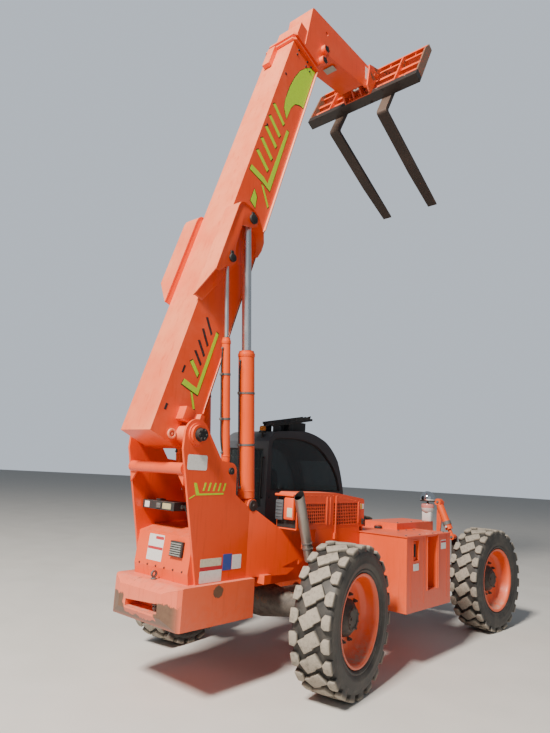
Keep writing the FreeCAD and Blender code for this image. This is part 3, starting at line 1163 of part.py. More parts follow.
def cab():
    """Rounded cab of pillars and plates, with its glass, seat and console."""
    shell = slab("cab_solid", "side", cab_outline("0"), "cab_right", "cab_left")
    room = slab("cab_room", "side", cab_outline("cab_wall"), "cab_right + cab_wall",
                "cab_left - cab_wall")
    windows = [
        # name, outline, how far it is cut: start and finish across the machine
        ("right", RIGHT_WINDOW, "cab_right - 10", "cab_right + cab_wall + 10"),
        ("door_hole", DOOR_HOLE, "cab_left - cab_wall - 10", "cab_left + 10"),
        ("quarter", [("cab_rear + 80", "1650"), ("1110", "1650"), ("1110", "2290"),
                     ("cab_rear + 160", "2290"), ("cab_rear + 80", "2210", "80")],
         "cab_left - cab_wall - 10", "cab_left + 10")]
    cuts = [room]
    for name, corners, start, finish in windows:
        cuts.append(slab("cab_%s_cut" % name, "side", corners, start, finish))
    rear_low = ("cab_rear", "cab_right + 80", "1500")
    rear_high = ("cab_rear", "cab_left - 80", "2200")
    cuts.append(block("cab_rear_cut", ("cab_rear - 20", rear_low[1], rear_low[2]),
                      ("cab_rear + cab_wall + 10", rear_high[1], rear_high[2])))
    cuts.append(block("cab_front_cut", ("1900", "cab_right + 70", "1330"),
                      ("2340", "cab_left - 70", "2110")))
    pins = []
    for index, height in enumerate(("1250", "1950")):
        pins.append(block("door_lug_%d" % index, ("1130", "cab_left - 5", height),
                          ("1186", "door_hinge_y + 6", height + " + 26")))
        pins.append(bar("door_pin_%d" % index, "z", "hinge_pin", height + " + 20", height + " + 84",
                        ("door_hinge_x", "door_hinge_y")))
    keep("cab_shell", fuse("cab_weld", [cut("cab_cut", shell, cuts)] + pins))
    middle = "cab_wall / 2"
    panes = [
        slab("pane_right", "side", [
            (row[0] + (" + seat_gap" if index in (0, 6, 7) else " - seat_gap" if index < 4 else ""),
             row[1] + (" + seat_gap" if index < 2 else " - seat_gap")) + row[2:]
            for index, row in enumerate(RIGHT_WINDOW)],
            "cab_right + %s - glass / 2" % middle, "cab_right + %s + glass / 2" % middle),
        slab("pane_quarter", "side", [
            ("cab_rear + 80 + seat_gap", "1650 + seat_gap"), ("1110 - seat_gap", "1650 + seat_gap"),
            ("1110 - seat_gap", "2290 - seat_gap"), ("cab_rear + 160", "2290 - seat_gap"),
            ("cab_rear + 80 + seat_gap", "2210", "80")],
            "cab_left - %s - glass / 2" % middle, "cab_left - %s + glass / 2" % middle),
        block("pane_rear", ("cab_rear + %s - glass / 2" % middle, rear_low[1] + " + seat_gap",
                            rear_low[2] + " + seat_gap"),
              ("cab_rear + %s + glass / 2" % middle, rear_high[1] + " - seat_gap",
               rear_high[2] + " - seat_gap")),
        common("pane_front", [
            cut("pane_front_bent", slab("pane_front_out", "side", cab_outline("15"),
                                        "cab_right + 70 + seat_gap", "cab_left - 70 - seat_gap"),
                [slab("pane_front_in", "side", cab_outline("21"), "cab_right", "cab_left")]),
            block("pane_front_limit", ("1900 + seat_gap", "cab_right", "1330 + seat_gap"),
                  ("2340", "cab_left", "2110 - seat_gap"))])]
    keep("cab_glass", group("cab_panes", panes))
    keep("seat", fuse("seat_weld", [
        block("seat_pedestal", ("1060", "700", "cab_floor - 15"), ("1400", "960", "1230")),
        slab("seat_cushion", "side", [
            ("1010", "1230"), ("1500", "1230"), ("1530", "1310"), ("1480", "1360", "55"),
            ("1010", "1340")], "590", "1070"),
        slab("seat_back", "side", [
            ("1000", "1330"), ("1120", "1330"), ("970", "1960"), ("905", "1990", "45"),
            ("870", "1950", "45")], "600", "1060")]))
    keep("console", fuse("console_weld", [
        slab("console_column", "side", [
            ("1930", "cab_floor - 15"), ("2120", "cab_floor - 15"), ("2060", "1480"),
            ("1930", "1460")], "700", "960"),
        bar("console_wheel", "z", "190", "1512", "1540", ("1850", "830")),
        slab("console_stem", "side", [
            ("1840", "1500"), ("1930", "1380"), ("1960", "1400"), ("1880", "1515"),
            ("1840", "1515")], "808", "852")]))


def cab_door():
    """The cab's door with its window and two hinge barrels."""
    leaf = [
        ("1196", "cab_floor + slack"), ("2173", "cab_floor + slack"), ("2133", "1678"),
        ("1984", "2055", "1500"), ("1697", "2293", "900"), ("1350", "2378", "1600"),
        ("1196", "2378")]
    frame = cut("door_frame", slab("door_leaf", "side", leaf, "cab_left - cab_wall", "cab_left"),
                [slab("door_window", "side", DOOR_WINDOW, "cab_left - cab_wall - 10",
                      "cab_left + 10")])
    pieces = [frame]
    centre = ("door_hinge_x", "door_hinge_y")
    for index, height in enumerate(("1276", "1976")):
        low, high = height + " + seat_gap", height + " + 54"
        barrel = fuse("door_barrel_%d" % index, [
            bar("door_knuckle_%d" % index, "z", "hinge_pin + hinge_wall", low, high, centre),
            block("door_strap_%d" % index, ("door_hinge_x", "cab_left + 3", low),
                  ("1260", "cab_left + 10", high)),
            block("door_strap_foot_%d" % index, ("1205", "cab_left - 2", low),
                  ("1260", "cab_left + 10", high))])
        pieces.append(cut("door_barrel_bored_%d" % index, barrel, [
            bar("door_barrel_bore_%d" % index, "z", "hinge_pin + seat_gap", height,
                height + " + 60", centre)]))
    pieces.append(bar("door_handle", "x", "9", "2010", "2080", ("cab_left + 14", "1290")))
    for index, along in enumerate(("2012", "2062")):
        pieces.append(block("door_handle_foot_%d" % index, (along, "cab_left - 3", "1284"),
                            (along + " + 14", "cab_left + 14", "1296")))
    keep("cab_door", fuse("door_weld", pieces))
    pane = [(row[0] + (" + seat_gap" if index in (0, 6) else " - seat_gap" if index < 3 else ""),
             row[1] + (" + seat_gap" if index < 2 else " - seat_gap" if index > 3 else "")) + row[2:]
            for index, row in enumerate(DOOR_WINDOW)]
    keep("door_glass", slab("door_pane", "side", pane, "cab_left - cab_wall / 2 - glass / 2",
                            "cab_left - cab_wall / 2 + glass / 2"))


def roof_pieces():
    """Beacon and slatted roof guard on the cab."""
    keep("beacon", cut("beacon_seated", fuse("beacon_weld", [
        bar("beacon_stem", "z", "16", "2300", "2400", ("640", "600")),
        bar("beacon_base", "z", "45", "2395", "2420", ("640", "600")),
        taper("beacon_lens", "z", ("40", "33"), "2420", "2482", ("640", "600"))]), [
            slab("beacon_seat", "side", cab_outline("0"), "cab_right", "cab_left")]))
    legs = [block("guard_leg_%d_%d" % (column, row), (along, across, "2380"),
                  (along + " + 30", across + " + 12", "2600"))
            for column, along in enumerate(("960", "1700"))
            for row, across in enumerate(("560", "1078"))]
    rail = [
        ("700", "2515"), ("980", "2560"), ("1740", "2607"), ("1880", "2577"), ("1880", "2612"),
        ("1750", "2642"), ("980", "2592"), ("700", "2547")]
    pieces = legs + [slab("guard_rail_%d" % index, "side", rail, across, across + " + 12")
                     for index, across in enumerate(("548", "1090"))]
    for index in range(8):
        along = 760 + 150 * index
        rise = 2545 + 0.06 * (along - 700)
        pieces.append(block("guard_slat_%d" % index, (str(along), "548", "%.0f" % rise),
                            (str(along + 40), "1102", "%.0f" % (rise + 14))))
    keep("roof_guard", cut("guard_cut", fuse("guard_weld", pieces), [
        slab("guard_seat", "side", cab_outline("0"), "cab_right", "cab_left")]))


def front_pieces():
    """Frame levelling cylinder, and the lamp and dome mirror on the raised deck."""
    # drawn upright from its foot, then leaned in towards the frame
    reach = "hypot(sway_foot_y - sway_head_y; sway_head_z - sway_foot_z)"
    ram = fuse("sway_weld", [
        bar("sway_barrel", "z", "52", "110", reach + " - 50", ("0", "0")),
        bar("sway_band", "z", "57", "170", "235", ("0", "0")),
        bar("sway_rod", "z", "26", "20", "140", ("0", "0")),
        bar("sway_top", "x", "48", "-35", "60 - seat_gap", ("0", reach)),
        bar("sway_foot", "x", "40", "-35", "60 - seat_gap", ("0", "0"))])
    leaned = group("sway_leaned", [ram])
    lean = "atan2(sway_foot_y - sway_head_y; sway_head_z - sway_foot_z)"
    leaned.Placement.Rotation = FreeCAD.Rotation(FreeCAD.Vector(-1, 0, 0), number(lean))
    bind(leaned, Placement__Rotation__Angle=lean)
    keep("levelling_cylinder", leaned, x="rear_axle_x + sway_x", y="0 - sway_foot_y",
         z="sway_foot_z")
    lamp_y = "deck_right + 44"
    keep("front_lamp", fuse("front_lamp_weld", [
        block("front_lamp_post", ("2350", lamp_y + " - 60", "deck_top"),
              ("2430", lamp_y + " + 60", "1525")),
        taper("front_lamp_case", "z", ("62", "80"), "1525", "1570", ("2390", lamp_y)),
        bar("front_lamp_lens", "z", "80", "1570", "1630", ("2390", lamp_y))]))
    keep("mirror", spun_dome(lamp_y))


def spun_dome(across):
    """A dome mirror on a short stem."""
    dome = cut("mirror_dome", bind(doc.addObject("Part::Sphere", "mirror_ball"),
                                   Radius="mirror_radius", Placement__Base__x="2390",
                                   Placement__Base__y=across, Placement__Base__z="1690"),
               [block("mirror_flat", ("2200", across + " - 200", "1500"),
                      ("2600", across + " + 200", "1662"))])
    return fuse("mirror_weld", [dome, bar("mirror_stem", "z", "14", "1630", "1670",
                                          ("2390", across))])


def driveline():
    """Transmission block and the shafts to both axles."""
    keep("driveline", fuse("driveline_weld", [
        block("gearbox", ("1350", "-220", "frame_low + 12"), ("1850", "220", "1000")),
        bar("rear_shaft", "x", "38", "300", "1350", ("0", "tyre_radius")),
        bar("front_shaft", "x", "38", "1850", "wheelbase - 300", ("0", "tyre_radius"))]))


def write_parts():
    """Checks every object and writes one file for each sub-part."""
    doc.recompute()
    for thing in doc.Objects:
        broken = [word for word in ("Invalid", "Error") if word in thing.State]
        if broken:
            raise RuntimeError("%s is %s" % (thing.Label, broken))
    os.makedirs("parts", exist_ok=True)
    for node, solid in NODES.items():
        shape = solid.Shape
        if shape.isNull() or not shape.isValid():
            raise RuntimeError("%s has no valid shape" % node)
        shape.exportStep(os.path.join("parts", node + ".step"))
    print(len(NODES), "sub-parts")


fill_sheet()
wheels_and_knuckles()
axles()
chassis_frame()
tower()
counterweight()
boom_base()
cylinder_pods()
boom_sections()
cylinders()
carriage()
engine()
tank_box()
rear_boxes()
cab()
cab_door()
roof_pieces()
front_pieces()
driveline()
write_parts()
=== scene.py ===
import math

import bmesh
import bpy
from mathutils import Matrix, Vector


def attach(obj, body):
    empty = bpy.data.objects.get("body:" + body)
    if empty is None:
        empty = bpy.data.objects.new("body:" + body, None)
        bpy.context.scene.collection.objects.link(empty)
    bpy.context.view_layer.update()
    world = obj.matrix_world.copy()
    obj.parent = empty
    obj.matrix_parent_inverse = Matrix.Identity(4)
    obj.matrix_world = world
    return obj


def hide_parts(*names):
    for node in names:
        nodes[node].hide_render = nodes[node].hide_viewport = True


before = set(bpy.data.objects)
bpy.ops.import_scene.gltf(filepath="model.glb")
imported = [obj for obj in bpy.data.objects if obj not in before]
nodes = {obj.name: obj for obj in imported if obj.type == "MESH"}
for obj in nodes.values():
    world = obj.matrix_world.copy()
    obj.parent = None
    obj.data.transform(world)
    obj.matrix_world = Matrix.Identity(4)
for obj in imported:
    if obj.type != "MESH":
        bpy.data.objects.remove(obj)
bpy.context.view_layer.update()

# The studio: a camera at eye height behind the machine's rear right corner, a pale
# floor, a key light high behind the machine, and a wide soft fill on the right.
scene = bpy.context.scene
camera_place = (-5.831, -4.125, 1.928)
camera_yaw, camera_pitch, camera_roll = 0.7222, 0.1852, 0.0549
ahead = Vector((math.cos(camera_pitch) * math.cos(camera_yaw),
    math.cos(camera_pitch) * math.sin(camera_yaw), math.sin(camera_pitch)))
level = ahead.cross(Vector((0, 0, 1))).normalized()
across_view = math.cos(camera_roll) * level + math.sin(camera_roll) * level.cross(ahead)
lens_frame = Matrix((across_view, across_view.cross(ahead), -ahead)).transposed()
camera = bpy.data.objects.new("camera", bpy.data.cameras.new("camera"))
camera.data.sensor_width = 36
camera.data.lens = 27.503
camera.data.clip_end = 500
camera.matrix_world = Matrix.Translation(camera_place) @ lens_frame.to_4x4()
scene.collection.objects.link(camera)
scene.camera = camera


def studio_light(name, place, aim, width, power, colour):
    """A square light that looks from its place at a point."""
    lamp = bpy.data.objects.new(name, bpy.data.lights.new(name, "AREA"))
    lamp.data.size = width
    lamp.data.energy = power
    lamp.data.color = colour
    lamp.location = place
    lamp.rotation_euler = (Vector(aim) - Vector(place)).to_track_quat("-Z", "Y").to_euler()
    scene.collection.objects.link(lamp)


studio_light("key_light", (-14.5, -2.8, 15.5), (0, 0, 3), 3, 8200, (1, 0.94, 0.86))
studio_light("fill_light", (-9, -14, 7), (0, 0, 3), 12, 90, (0.9, 0.95, 1))
scene.world = bpy.data.worlds.new("studio_air")
scene.world.use_nodes = True
air = scene.world.node_tree.nodes["Background"]
air.inputs["Color"].default_value = (0.74, 0.82, 0.92, 1)
backdrop_light = scene.world.node_tree.nodes.new("ShaderNodeMapRange")
backdrop_light.inputs["To Min"].default_value = 0.26
backdrop_light.inputs["To Max"].default_value = 0.8
seen = scene.world.node_tree.nodes.new("ShaderNodeLightPath")
scene.world.node_tree.links.new(seen.outputs["Is Camera Ray"], backdrop_light.inputs["Value"])
scene.world.node_tree.links.new(backdrop_light.outputs[0], air.inputs["Strength"])


def shader_node(tree, kind, inputs=(), **settings):
    """A shader node with its settings, its inputs set or linked by name or number."""
    node = tree.nodes.new("ShaderNode" + kind)
    for name, value in settings.items():
        setattr(node, name, value)
    for name, value in dict(inputs).items():
        if isinstance(value, bpy.types.NodeSocket):
            tree.links.new(value, node.inputs[name])
        else:
            node.inputs[name].default_value = value
    return node


def worked(tree, operation, first, second=0.0):
    """The result of one sum on two values, kept from 0 to 1."""
    node = shader_node(tree, "Math", {0: first, 1: second}, operation=operation, use_clamp=True)
    return node.outputs[0]


def vector_worked(tree, operation, first, second=(0, 0, 0)):
    """The result of one sum on two vectors: a value where there is one, or else a vector."""
    node = shader_node(tree, "VectorMath", {0: first, 1: second}, operation=operation)
    return node.outputs["Value" if operation in ("DOT_PRODUCT", "DISTANCE", "LENGTH") else 0]


def unsigned(tree, value):
    """A value without its sign."""
    return shader_node(tree, "Math", {0: value}, operation="ABSOLUTE").outputs[0]


def axes(tree, place):
    """The three outputs of a place, by the name of the axis."""
    return shader_node(tree, "SeparateXYZ", {0: place}).outputs


def mixed(tree, amount, first, second):
    """Two colours mixed by an amount."""
    node = shader_node(tree, "Mix", {0: amount, 6: first, 7: second}, data_type="RGBA")
    return node.outputs[2]


def eased(tree, value, low, high, start=0.0, finish=1.0):
    """A value eased from start, at low, to finish, at high."""
    node = shader_node(tree, "MapRange", {0: value, 1: low, 2: high, 3: start, 4: finish},
        interpolation_type="SMOOTHSTEP")
    return node.outputs[0]


def speckle(tree, place, scale, detail=4.0, roughness=0.55, stretch=(1, 1, 1)):
    """A cloudy value over the surface, stretched along the axes."""
    mapped = shader_node(tree, "Mapping", {"Vector": place, "Scale": stretch})
    cloud = shader_node(tree, "TexNoise", {"Vector": mapped.outputs[0], "Scale": scale, "Detail": detail,
        "Roughness": roughness})
    return cloud.outputs["Fac"]


def bumped(tree, height, strength, distance, normal=None):
    """A normal roughened by a height."""
    inputs = {"Height": height, "Strength": strength, "Distance": distance}
    if normal:
        inputs["Normal"] = normal
    return shader_node(tree, "Bump", inputs).outputs[0]


def blank_material(name):
    """A node material with its surface shader, and the place on the piece that it reads."""
    material = bpy.data.materials.new(name)
    material.use_nodes = True
    tree = material.node_tree
    place = shader_node(tree, "TexCoord").outputs["Object"]
    return material, tree, tree.nodes["Principled BSDF"], place


def apply_inputs(tree, shader, inputs):
    """Sets or links a shader's inputs by name."""
    for name, value in inputs.items():
        if isinstance(value, bpy.types.NodeSocket):
            tree.links.new(value, shader.inputs[name])
        else:
            shader.inputs[name].default_value = value


def floor_material():
    """Pale, even concrete with a fine grain."""
    material, tree, shader, place = blank_material("pale_floor")
    grain = speckle(tree, place, 1.4, 6)
    apply_inputs(tree, shader,
        {"Base Color": mixed(tree, grain, (0.6, 0.58, 0.54, 1), (0.7, 0.68, 0.64, 1)),
        "Roughness": eased(tree, grain, 0.3, 0.7, 0.75, 0.9)})
    return material


floor_mesh = bmesh.new()
bmesh.ops.create_circle(floor_mesh, cap_ends=True, segments=64, radius=90)
floor = bpy.data.objects.new("floor", bpy.data.meshes.new("floor"))
floor_mesh.to_mesh(floor.data)
floor_mesh.free()
floor.data.materials.append(floor_material())
scene.collection.objects.link(floor)


# Paint and grime on steel: the welded plates are primed and sprayed, then years of sun,
# wash water, road dust and knocks show on them, most on edges and on faces that look up.
# Faces that look up and back, towards the key light, are also painted paler: painted highlight.
def effect_group(name, inputs, outputs):
    """An empty group of shader nodes with named inputs and outputs."""
    group = bpy.data.node_groups.new(name, "ShaderNodeTree")
    for label, value in inputs:
        socket = group.interface.new_socket(name=label, in_out="INPUT", socket_type="NodeSocketVector"
            if value is None else "NodeSocketFloat")
        if value is not None:
            socket.default_value = value
    for label, kind in outputs:
        group.interface.new_socket(name=label, in_out="OUTPUT", socket_type="NodeSocket" + kind)
    return group, group.nodes.new("NodeGroupInput"), group.nodes.new("NodeGroupOutput")


def edge_wear_group():
    """Where edges are rubbed bare, and a normal that rounds them a little."""
    group, given, result = effect_group("edge_wear",
        [("Place", None), ("Radius", 0.006), ("Amount", 0.5)], [("Mask", "Float"), ("Normal", "Vector")])
    rounded = shader_node(group, "Bevel", {"Radius": given.outputs["Radius"]}, samples=4)
    flat = shader_node(group, "NewGeometry")
    along = vector_worked(group, "DOT_PRODUCT", rounded.outputs[0], flat.outputs["Normal"])
    edge = eased(group, along, 0.992, 0.85)
    ragged = speckle(group, given.outputs["Place"], 34, 8, 0.7)
    wanted = worked(group, "SUBTRACT", 1.02, given.outputs["Amount"])
    rubbed = eased(group, worked(group, "MULTIPLY", edge, ragged), 0.3, 0.42)
    gate = eased(group, speckle(group, given.outputs["Place"], 5, 4), wanted, 1.0)
    group.links.new(worked(group, "MULTIPLY", rubbed,
        worked(group, "ADD", gate, given.outputs["Amount"])), result.inputs["Mask"])
    group.links.new(rounded.outputs[0], result.inputs["Normal"])
    return group


def weather_group():
    """Sun fading with painted highlight on faces looking up and back, dust near the ground, wash streaks.
    """
    group, given, result = effect_group("weather", [("Place", None), ("Dust Height", 1.2)],
        [("Fade", "Float"), ("Dust", "Float"), ("Streak", "Float"), ("Blotch", "Float")])
    place = given.outputs["Place"]
    normal = shader_node(group, "TexCoord").outputs["Normal"]
    # Faces towards the key light get the pale tone: sun fading, and a painted highlight.
    toward_key_light = vector_worked(group, "DOT_PRODUCT", normal, (-0.72, 0.25, 0.65))
    blotch = speckle(group, place, 2.3, 6, 0.6)
    fade_and_light = worked(group, "MULTIPLY", eased(group, toward_key_light, 0.05, 0.9),
        eased(group, blotch, 0.25, 0.7, 0.55, 1.0))
    low = eased(group, axes(group, place)["Z"], given.outputs["Dust Height"], 0.25)
    up = axes(group, normal)["Z"]
    lying = eased(group, up, 0.5, 1.0, 0.25, 1.0)
    fine = speckle(group, place, 19, 8, 0.7)
    dust = worked(group, "MULTIPLY", worked(group, "MULTIPLY", low, lying), eased(group, fine, 0.3, 0.62))
    settled = worked(group, "MULTIPLY", eased(group, up, 0.8, 1.0, 0.0, 0.3),
        eased(group, fine, 0.35, 0.7))
    streak = eased(group, speckle(group, place, 9, 5, 0.6, (3.2, 3.2, 0.28)), 0.52, 0.74)
    for label, value in (("Fade", fade_and_light), ("Dust", worked(group, "ADD", dust, settled)),
            ("Streak", streak), ("Blotch", blotch)):
        group.links.new(value, result.inputs[label])
    return group


def rust_group():
    """Patches of rust and bare primer: a mask, and how deep each patch has gone."""
    group, given, result = effect_group("rust", [("Place", None), ("Scale", 3.0), ("Amount", 0.3)],
        [("Mask", "Float"), ("Depth", "Float")])
    cloud = speckle(group, given.outputs["Place"], 1, 3, 0.5)
    mapped = shader_node(group, "VectorMath", {0: given.outputs["Place"]}, operation="SCALE")
    group.links.new(given.outputs["Scale"], mapped.inputs["Scale"])
    patch = speckle(group, mapped.outputs[0], 1, 9, 0.68)
    wanted = worked(group, "SUBTRACT", 0.86, worked(group, "MULTIPLY", given.outputs["Amount"], 0.5))
    above = worked(group, "ADD", patch, worked(group, "MULTIPLY", cloud, 0.16))
    group.links.new(eased(group, above, wanted, worked(group, "ADD", wanted, 0.035)),
        result.inputs["Mask"])
    group.links.new(speckle(group, mapped.outputs[0], 14, 6, 0.7), result.inputs["Depth"])
    return group


edge_wear, weather, rust = edge_wear_group(), weather_group(), rust_group()


def placed_group(tree, group, **inputs):
    """A group of effects in a material, with its inputs set or linked."""
    node = tree.nodes.new("ShaderNodeGroup")
    node.node_tree = group
    apply_inputs(tree, node, {name.replace("_", " "): value for name, value in inputs.items()})
    return node.outputs


def painted_steel(name, paint, faded_and_lit, chip=(0.055, 0.03, 0.022, 1), wear=0.35, rusted=0.0, rust_scale=3.0,
        dust_height=1.1, roughness=0.36, coat=0.25, edge=0.005):
    """Sprayed steel with sun fading and painted highlight, wash streaks, dust, chipped edges and rust."""
    material, tree, shader, place = blank_material(name)
    worn = placed_group(tree, edge_wear, Place=place, Radius=edge, Amount=wear)
    air = placed_group(tree, weather, Place=place, Dust_Height=dust_height)
    colour = mixed(tree, air["Fade"], paint, faded_and_lit)
    darker = tuple(0.72 * part for part in paint[:3]) + (1,)
    colour = mixed(tree, worked(tree, "MULTIPLY", air["Streak"], 0.4), colour, darker)
    colour = mixed(tree, eased(tree, air["Blotch"], 0.45, 0.75, 0, 0.22), colour, faded_and_lit)
    nicks = eased(tree, speckle(tree, place, 55, 6, 0.75), 0.735, 0.75)
    bare = worked(tree, "MAXIMUM", worn["Mask"], worked(tree, "MULTIPLY", nicks, wear))
    patches = placed_group(tree, rust, Place=place, Scale=rust_scale, Amount=rusted)
    tone = mixed(tree, patches["Depth"], (0.075, 0.032, 0.018, 1), (0.24, 0.085, 0.032, 1))
    colour = mixed(tree, bare, colour, chip)
    if rusted:
        colour = mixed(tree, patches["Mask"], colour, tone)
        bare = worked(tree, "MAXIMUM", bare, patches["Mask"])
    colour = mixed(tree, worked(tree, "MULTIPLY", air["Dust"], 0.75), colour, (0.44, 0.37, 0.29, 1))
    dull = worked(tree, "MAXIMUM", worked(tree, "MAXIMUM", bare, air["Dust"]),
        worked(tree, "MULTIPLY", air["Fade"], 0.4))
    peel = speckle(tree, place, 420, 2)
    dent = speckle(tree, place, 2.2, 2)
    lift = worked(tree, "SUBTRACT", worked(tree, "MULTIPLY", dent, 0.9),
        worked(tree, "MULTIPLY", bare, 0.1))
    wavy = bumped(tree, lift, 0.3, 0.012, worn["Normal"])
    skin = bumped(tree, peel, 0.1, 0.0006, wavy)
    apply_inputs(tree, shader,
        {"Base Color": colour, "Normal": skin, "Roughness": eased(tree, dull, 0, 1, roughness, 0.86),
        "Coat Weight": eased(tree, dull, 0, 0.5, coat, 0.0), "Coat Roughness": 0.18})
    return material


# Each paint's second colour is its pale tone: sun fading, and a painted highlight on lit faces.
orange, chalky_and_lit = (0.78, 0.062, 0.005, 1), (0.88, 0.115, 0.03, 1)
bleached_and_lit = (0.94, 0.25, 0.115, 1)
orange_paint = painted_steel("orange_paint", orange, chalky_and_lit, wear=0.28)
charcoal_paint = painted_steel("charcoal_paint", (0.013, 0.014, 0.017, 1), (0.05, 0.05, 0.055, 1),
    chip=(0.1, 0.095, 0.09, 1), wear=0.2, roughness=0.42)
dark_iron = painted_steel("dark_iron", (0.02, 0.017, 0.016, 1), (0.055, 0.042, 0.036, 1),
    chip=(0.16, 0.09, 0.055, 1), wear=0.5, rusted=0.35, rust_scale=6.0, roughness=0.55, coat=0.0)


def dress(material, *names):
    """Gives CAD nodes a material in every slot."""
    for name in names:
        for slot in nodes[name].material_slots:
            slot.material = material


common_paints = {"orange_paint": orange_paint, "charcoal_paint": charcoal_paint, "dark_iron": dark_iron}
for name, node in nodes.items():
    kind = node.material_slots[0].name.split(".")[0] if node.material_slots else ""
    if kind in common_paints:
        dress(common_paints[kind], name)


# Tyres: moulded rubber on all four steel wheels, with a long stepped block across the
# middle of the tread and a block on each shoulder, all leaning one way, with dusty tops.
shift = Matrix.Translation


def spin(angle, axis="Z"):
    """A turn about an axis, in radians."""
    return Matrix.Rotation(angle, 4, axis)


def around(count, start=0):
    """Even turns about the Z axis, once round."""
    return [spin(math.tau * (index + start) / count) for index in range(count)]


def placed(part, place):
    """The part, moved into place."""
    bmesh.ops.transform(part, matrix=place, verts=part.verts)
    return part


def face_outward(part):
    """Turns all normals outward."""
    bmesh.ops.recalc_face_normals(part, faces=part.faces)


def soften(part, width, segments=2, clamped=False):
    """Eases every edge of a part."""
    bmesh.ops.bevel(part, geom=part.edges[:], offset=width, offset_type="OFFSET", affect="EDGES",
        segments=segments, profile=0.5, material=-1, clamp_overlap=clamped)


def add_part(whole, part, place=Matrix.Identity(4)):
    """Moves a part into place and joins it to the whole."""
    placed(part, place)
    mesh = bpy.data.meshes.new("part")
    part.to_mesh(mesh)
    part.free()
    whole.from_mesh(mesh)
    bpy.data.meshes.remove(mesh)


def turned(profile, steps=48):
    """A profile of (radius, height) pairs spun about the Z axis, closed on itself or the axis."""
    part = bmesh.new()
    ring = [part.verts.new((radius, 0, height)) for radius, height in profile]
    edges = [part.edges.new(pair) for pair in zip(ring, ring[1:])]
    if min(radius for radius, _ in (profile[0], profile[-1])) > 0:
        edges.append(part.edges.new((ring[-1], ring[0])))
    bmesh.ops.spin(part, geom=ring + edges, cent=(0, 0, 0), axis=(0, 0, 1), angle=math.tau, steps=steps,
        use_merge=True)
    bmesh.ops.remove_doubles(part, verts=part.verts, dist=1e-5)
    face_outward(part)
    return part


def plate(corners, depth, bevel=0.0, segments=2):
    """A flat outline in X and Y, raised by depth along Z, with its edges eased."""
    part = bmesh.new()
    face = part.faces.new([part.verts.new((x, y, 0)) for x, y in corners])
    raised = bmesh.ops.extrude_face_region(part, geom=[face])
    lifted = [item for item in raised["geom"] if isinstance(item, bmesh.types.BMVert)]
    bmesh.ops.translate(part, verts=lifted, vec=(0, 0, depth))
    face_outward(part)
    if bevel:
        soften(part, bevel, segments, True)
    return part


def finished(name, part, material, body="chassis", replaced=(), crease=35):
    """Makes a piece of the part, which rides on a body."""
    mesh = bpy.data.meshes.new(name)
    part.normal_update()
    part.to_mesh(mesh)
    part.free()
    mesh.shade_smooth()
    mesh.set_sharp_from_angle(angle=math.radians(crease))
    piece = bpy.data.objects.new(name, mesh)
    mesh.materials.append(material)
    scene.collection.objects.link(piece)
    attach(piece, body)
    if replaced:
        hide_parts(*replaced)
    return piece


def tyre_material():
    """Black rubber, grey with road dust on the tops of the blocks."""
    material, tree, shader, place = blank_material("tyre_rubber")
    worn = placed_group(tree, edge_wear, Place=place, Radius=0.006, Amount=0.2)
    tread = shader_node(tree, "Attribute", attribute_name="tread").outputs["Fac"]
    fine = speckle(tree, place, 26, 9, 0.72)
    caked = worked(tree, "MULTIPLY", tread, eased(tree, fine, 0.22, 0.55, 0.35, 1.0))
    thin = eased(tree, speckle(tree, place, 5, 7, 0.65), 0.35, 0.8, 0.02, 0.2)
    dusty = worked(tree, "MAXIMUM", caked, thin)
    rubber = mixed(tree, fine, (0.012, 0.012, 0.013, 1), (0.024, 0.023, 0.022, 1))
    grit = mixed(tree, speckle(tree, place, 60, 5), (0.27, 0.235, 0.19, 1), (0.42, 0.37, 0.3, 1))
    bumpy = bumped(tree, fine, 0.35, 0.002, worn["Normal"])
    apply_inputs(tree, shader, {"Base Color": mixed(tree, dusty, rubber, grit), "Normal": bumpy,
        "Roughness": eased(tree, dusty, 0, 0.6, 0.52, 0.9)})
    return material


tyre_radius, tyre_half, tread_floor = 0.655, 0.2, 0.612
pitches = 22
kingpin_across, kingpin_high, wheel_reach = 0.785, 0.655, 0.3
rear_axle, wheelbase = -1.275, 3.52
wheels = [
    # name, place of the axle, side, steered angle
    ("rear_left", rear_axle, 1, 7.5),
    ("rear_right", rear_axle, -1, 7.5),
    ("front_left", rear_axle + wheelbase, 1, -5.4),
    ("front_right", rear_axle + wheelbase, -1, -5.4),
]


def wheel_place(axle, side, steer):
    """The wheel's middle, with Z outboard along its own axis and Y up."""
    turn = spin(math.radians(steer + (0 if side > 0 else 180)))
    outboard = shift((0, wheel_reach, 0)) @ spin(-math.pi / 2, "X")
    return shift((axle, side * kingpin_across, kingpin_high)) @ turn @ outboard


def tread_block(outline, foot, dome=0.0):
    """A rubber block over an outline of (round, across), wrapped on the tread."""
    block = plate(outline, tyre_radius - foot, 0.006, 2)
    bmesh.ops.subdivide_edges(block, edges=[edge for edge in block.edges if edge.calc_length() > 0.045],
        cuts=1)
    for corner in block.verts:
        along, across, high = corner.co
        top = high > (tyre_radius - foot) / 2
        reach = foot + high - (0.004 * (across / tyre_half) ** 2 if top else 0)
        angle = along / tyre_radius
        corner.co = (reach * math.sin(angle), reach * math.cos(angle), across)
    return block


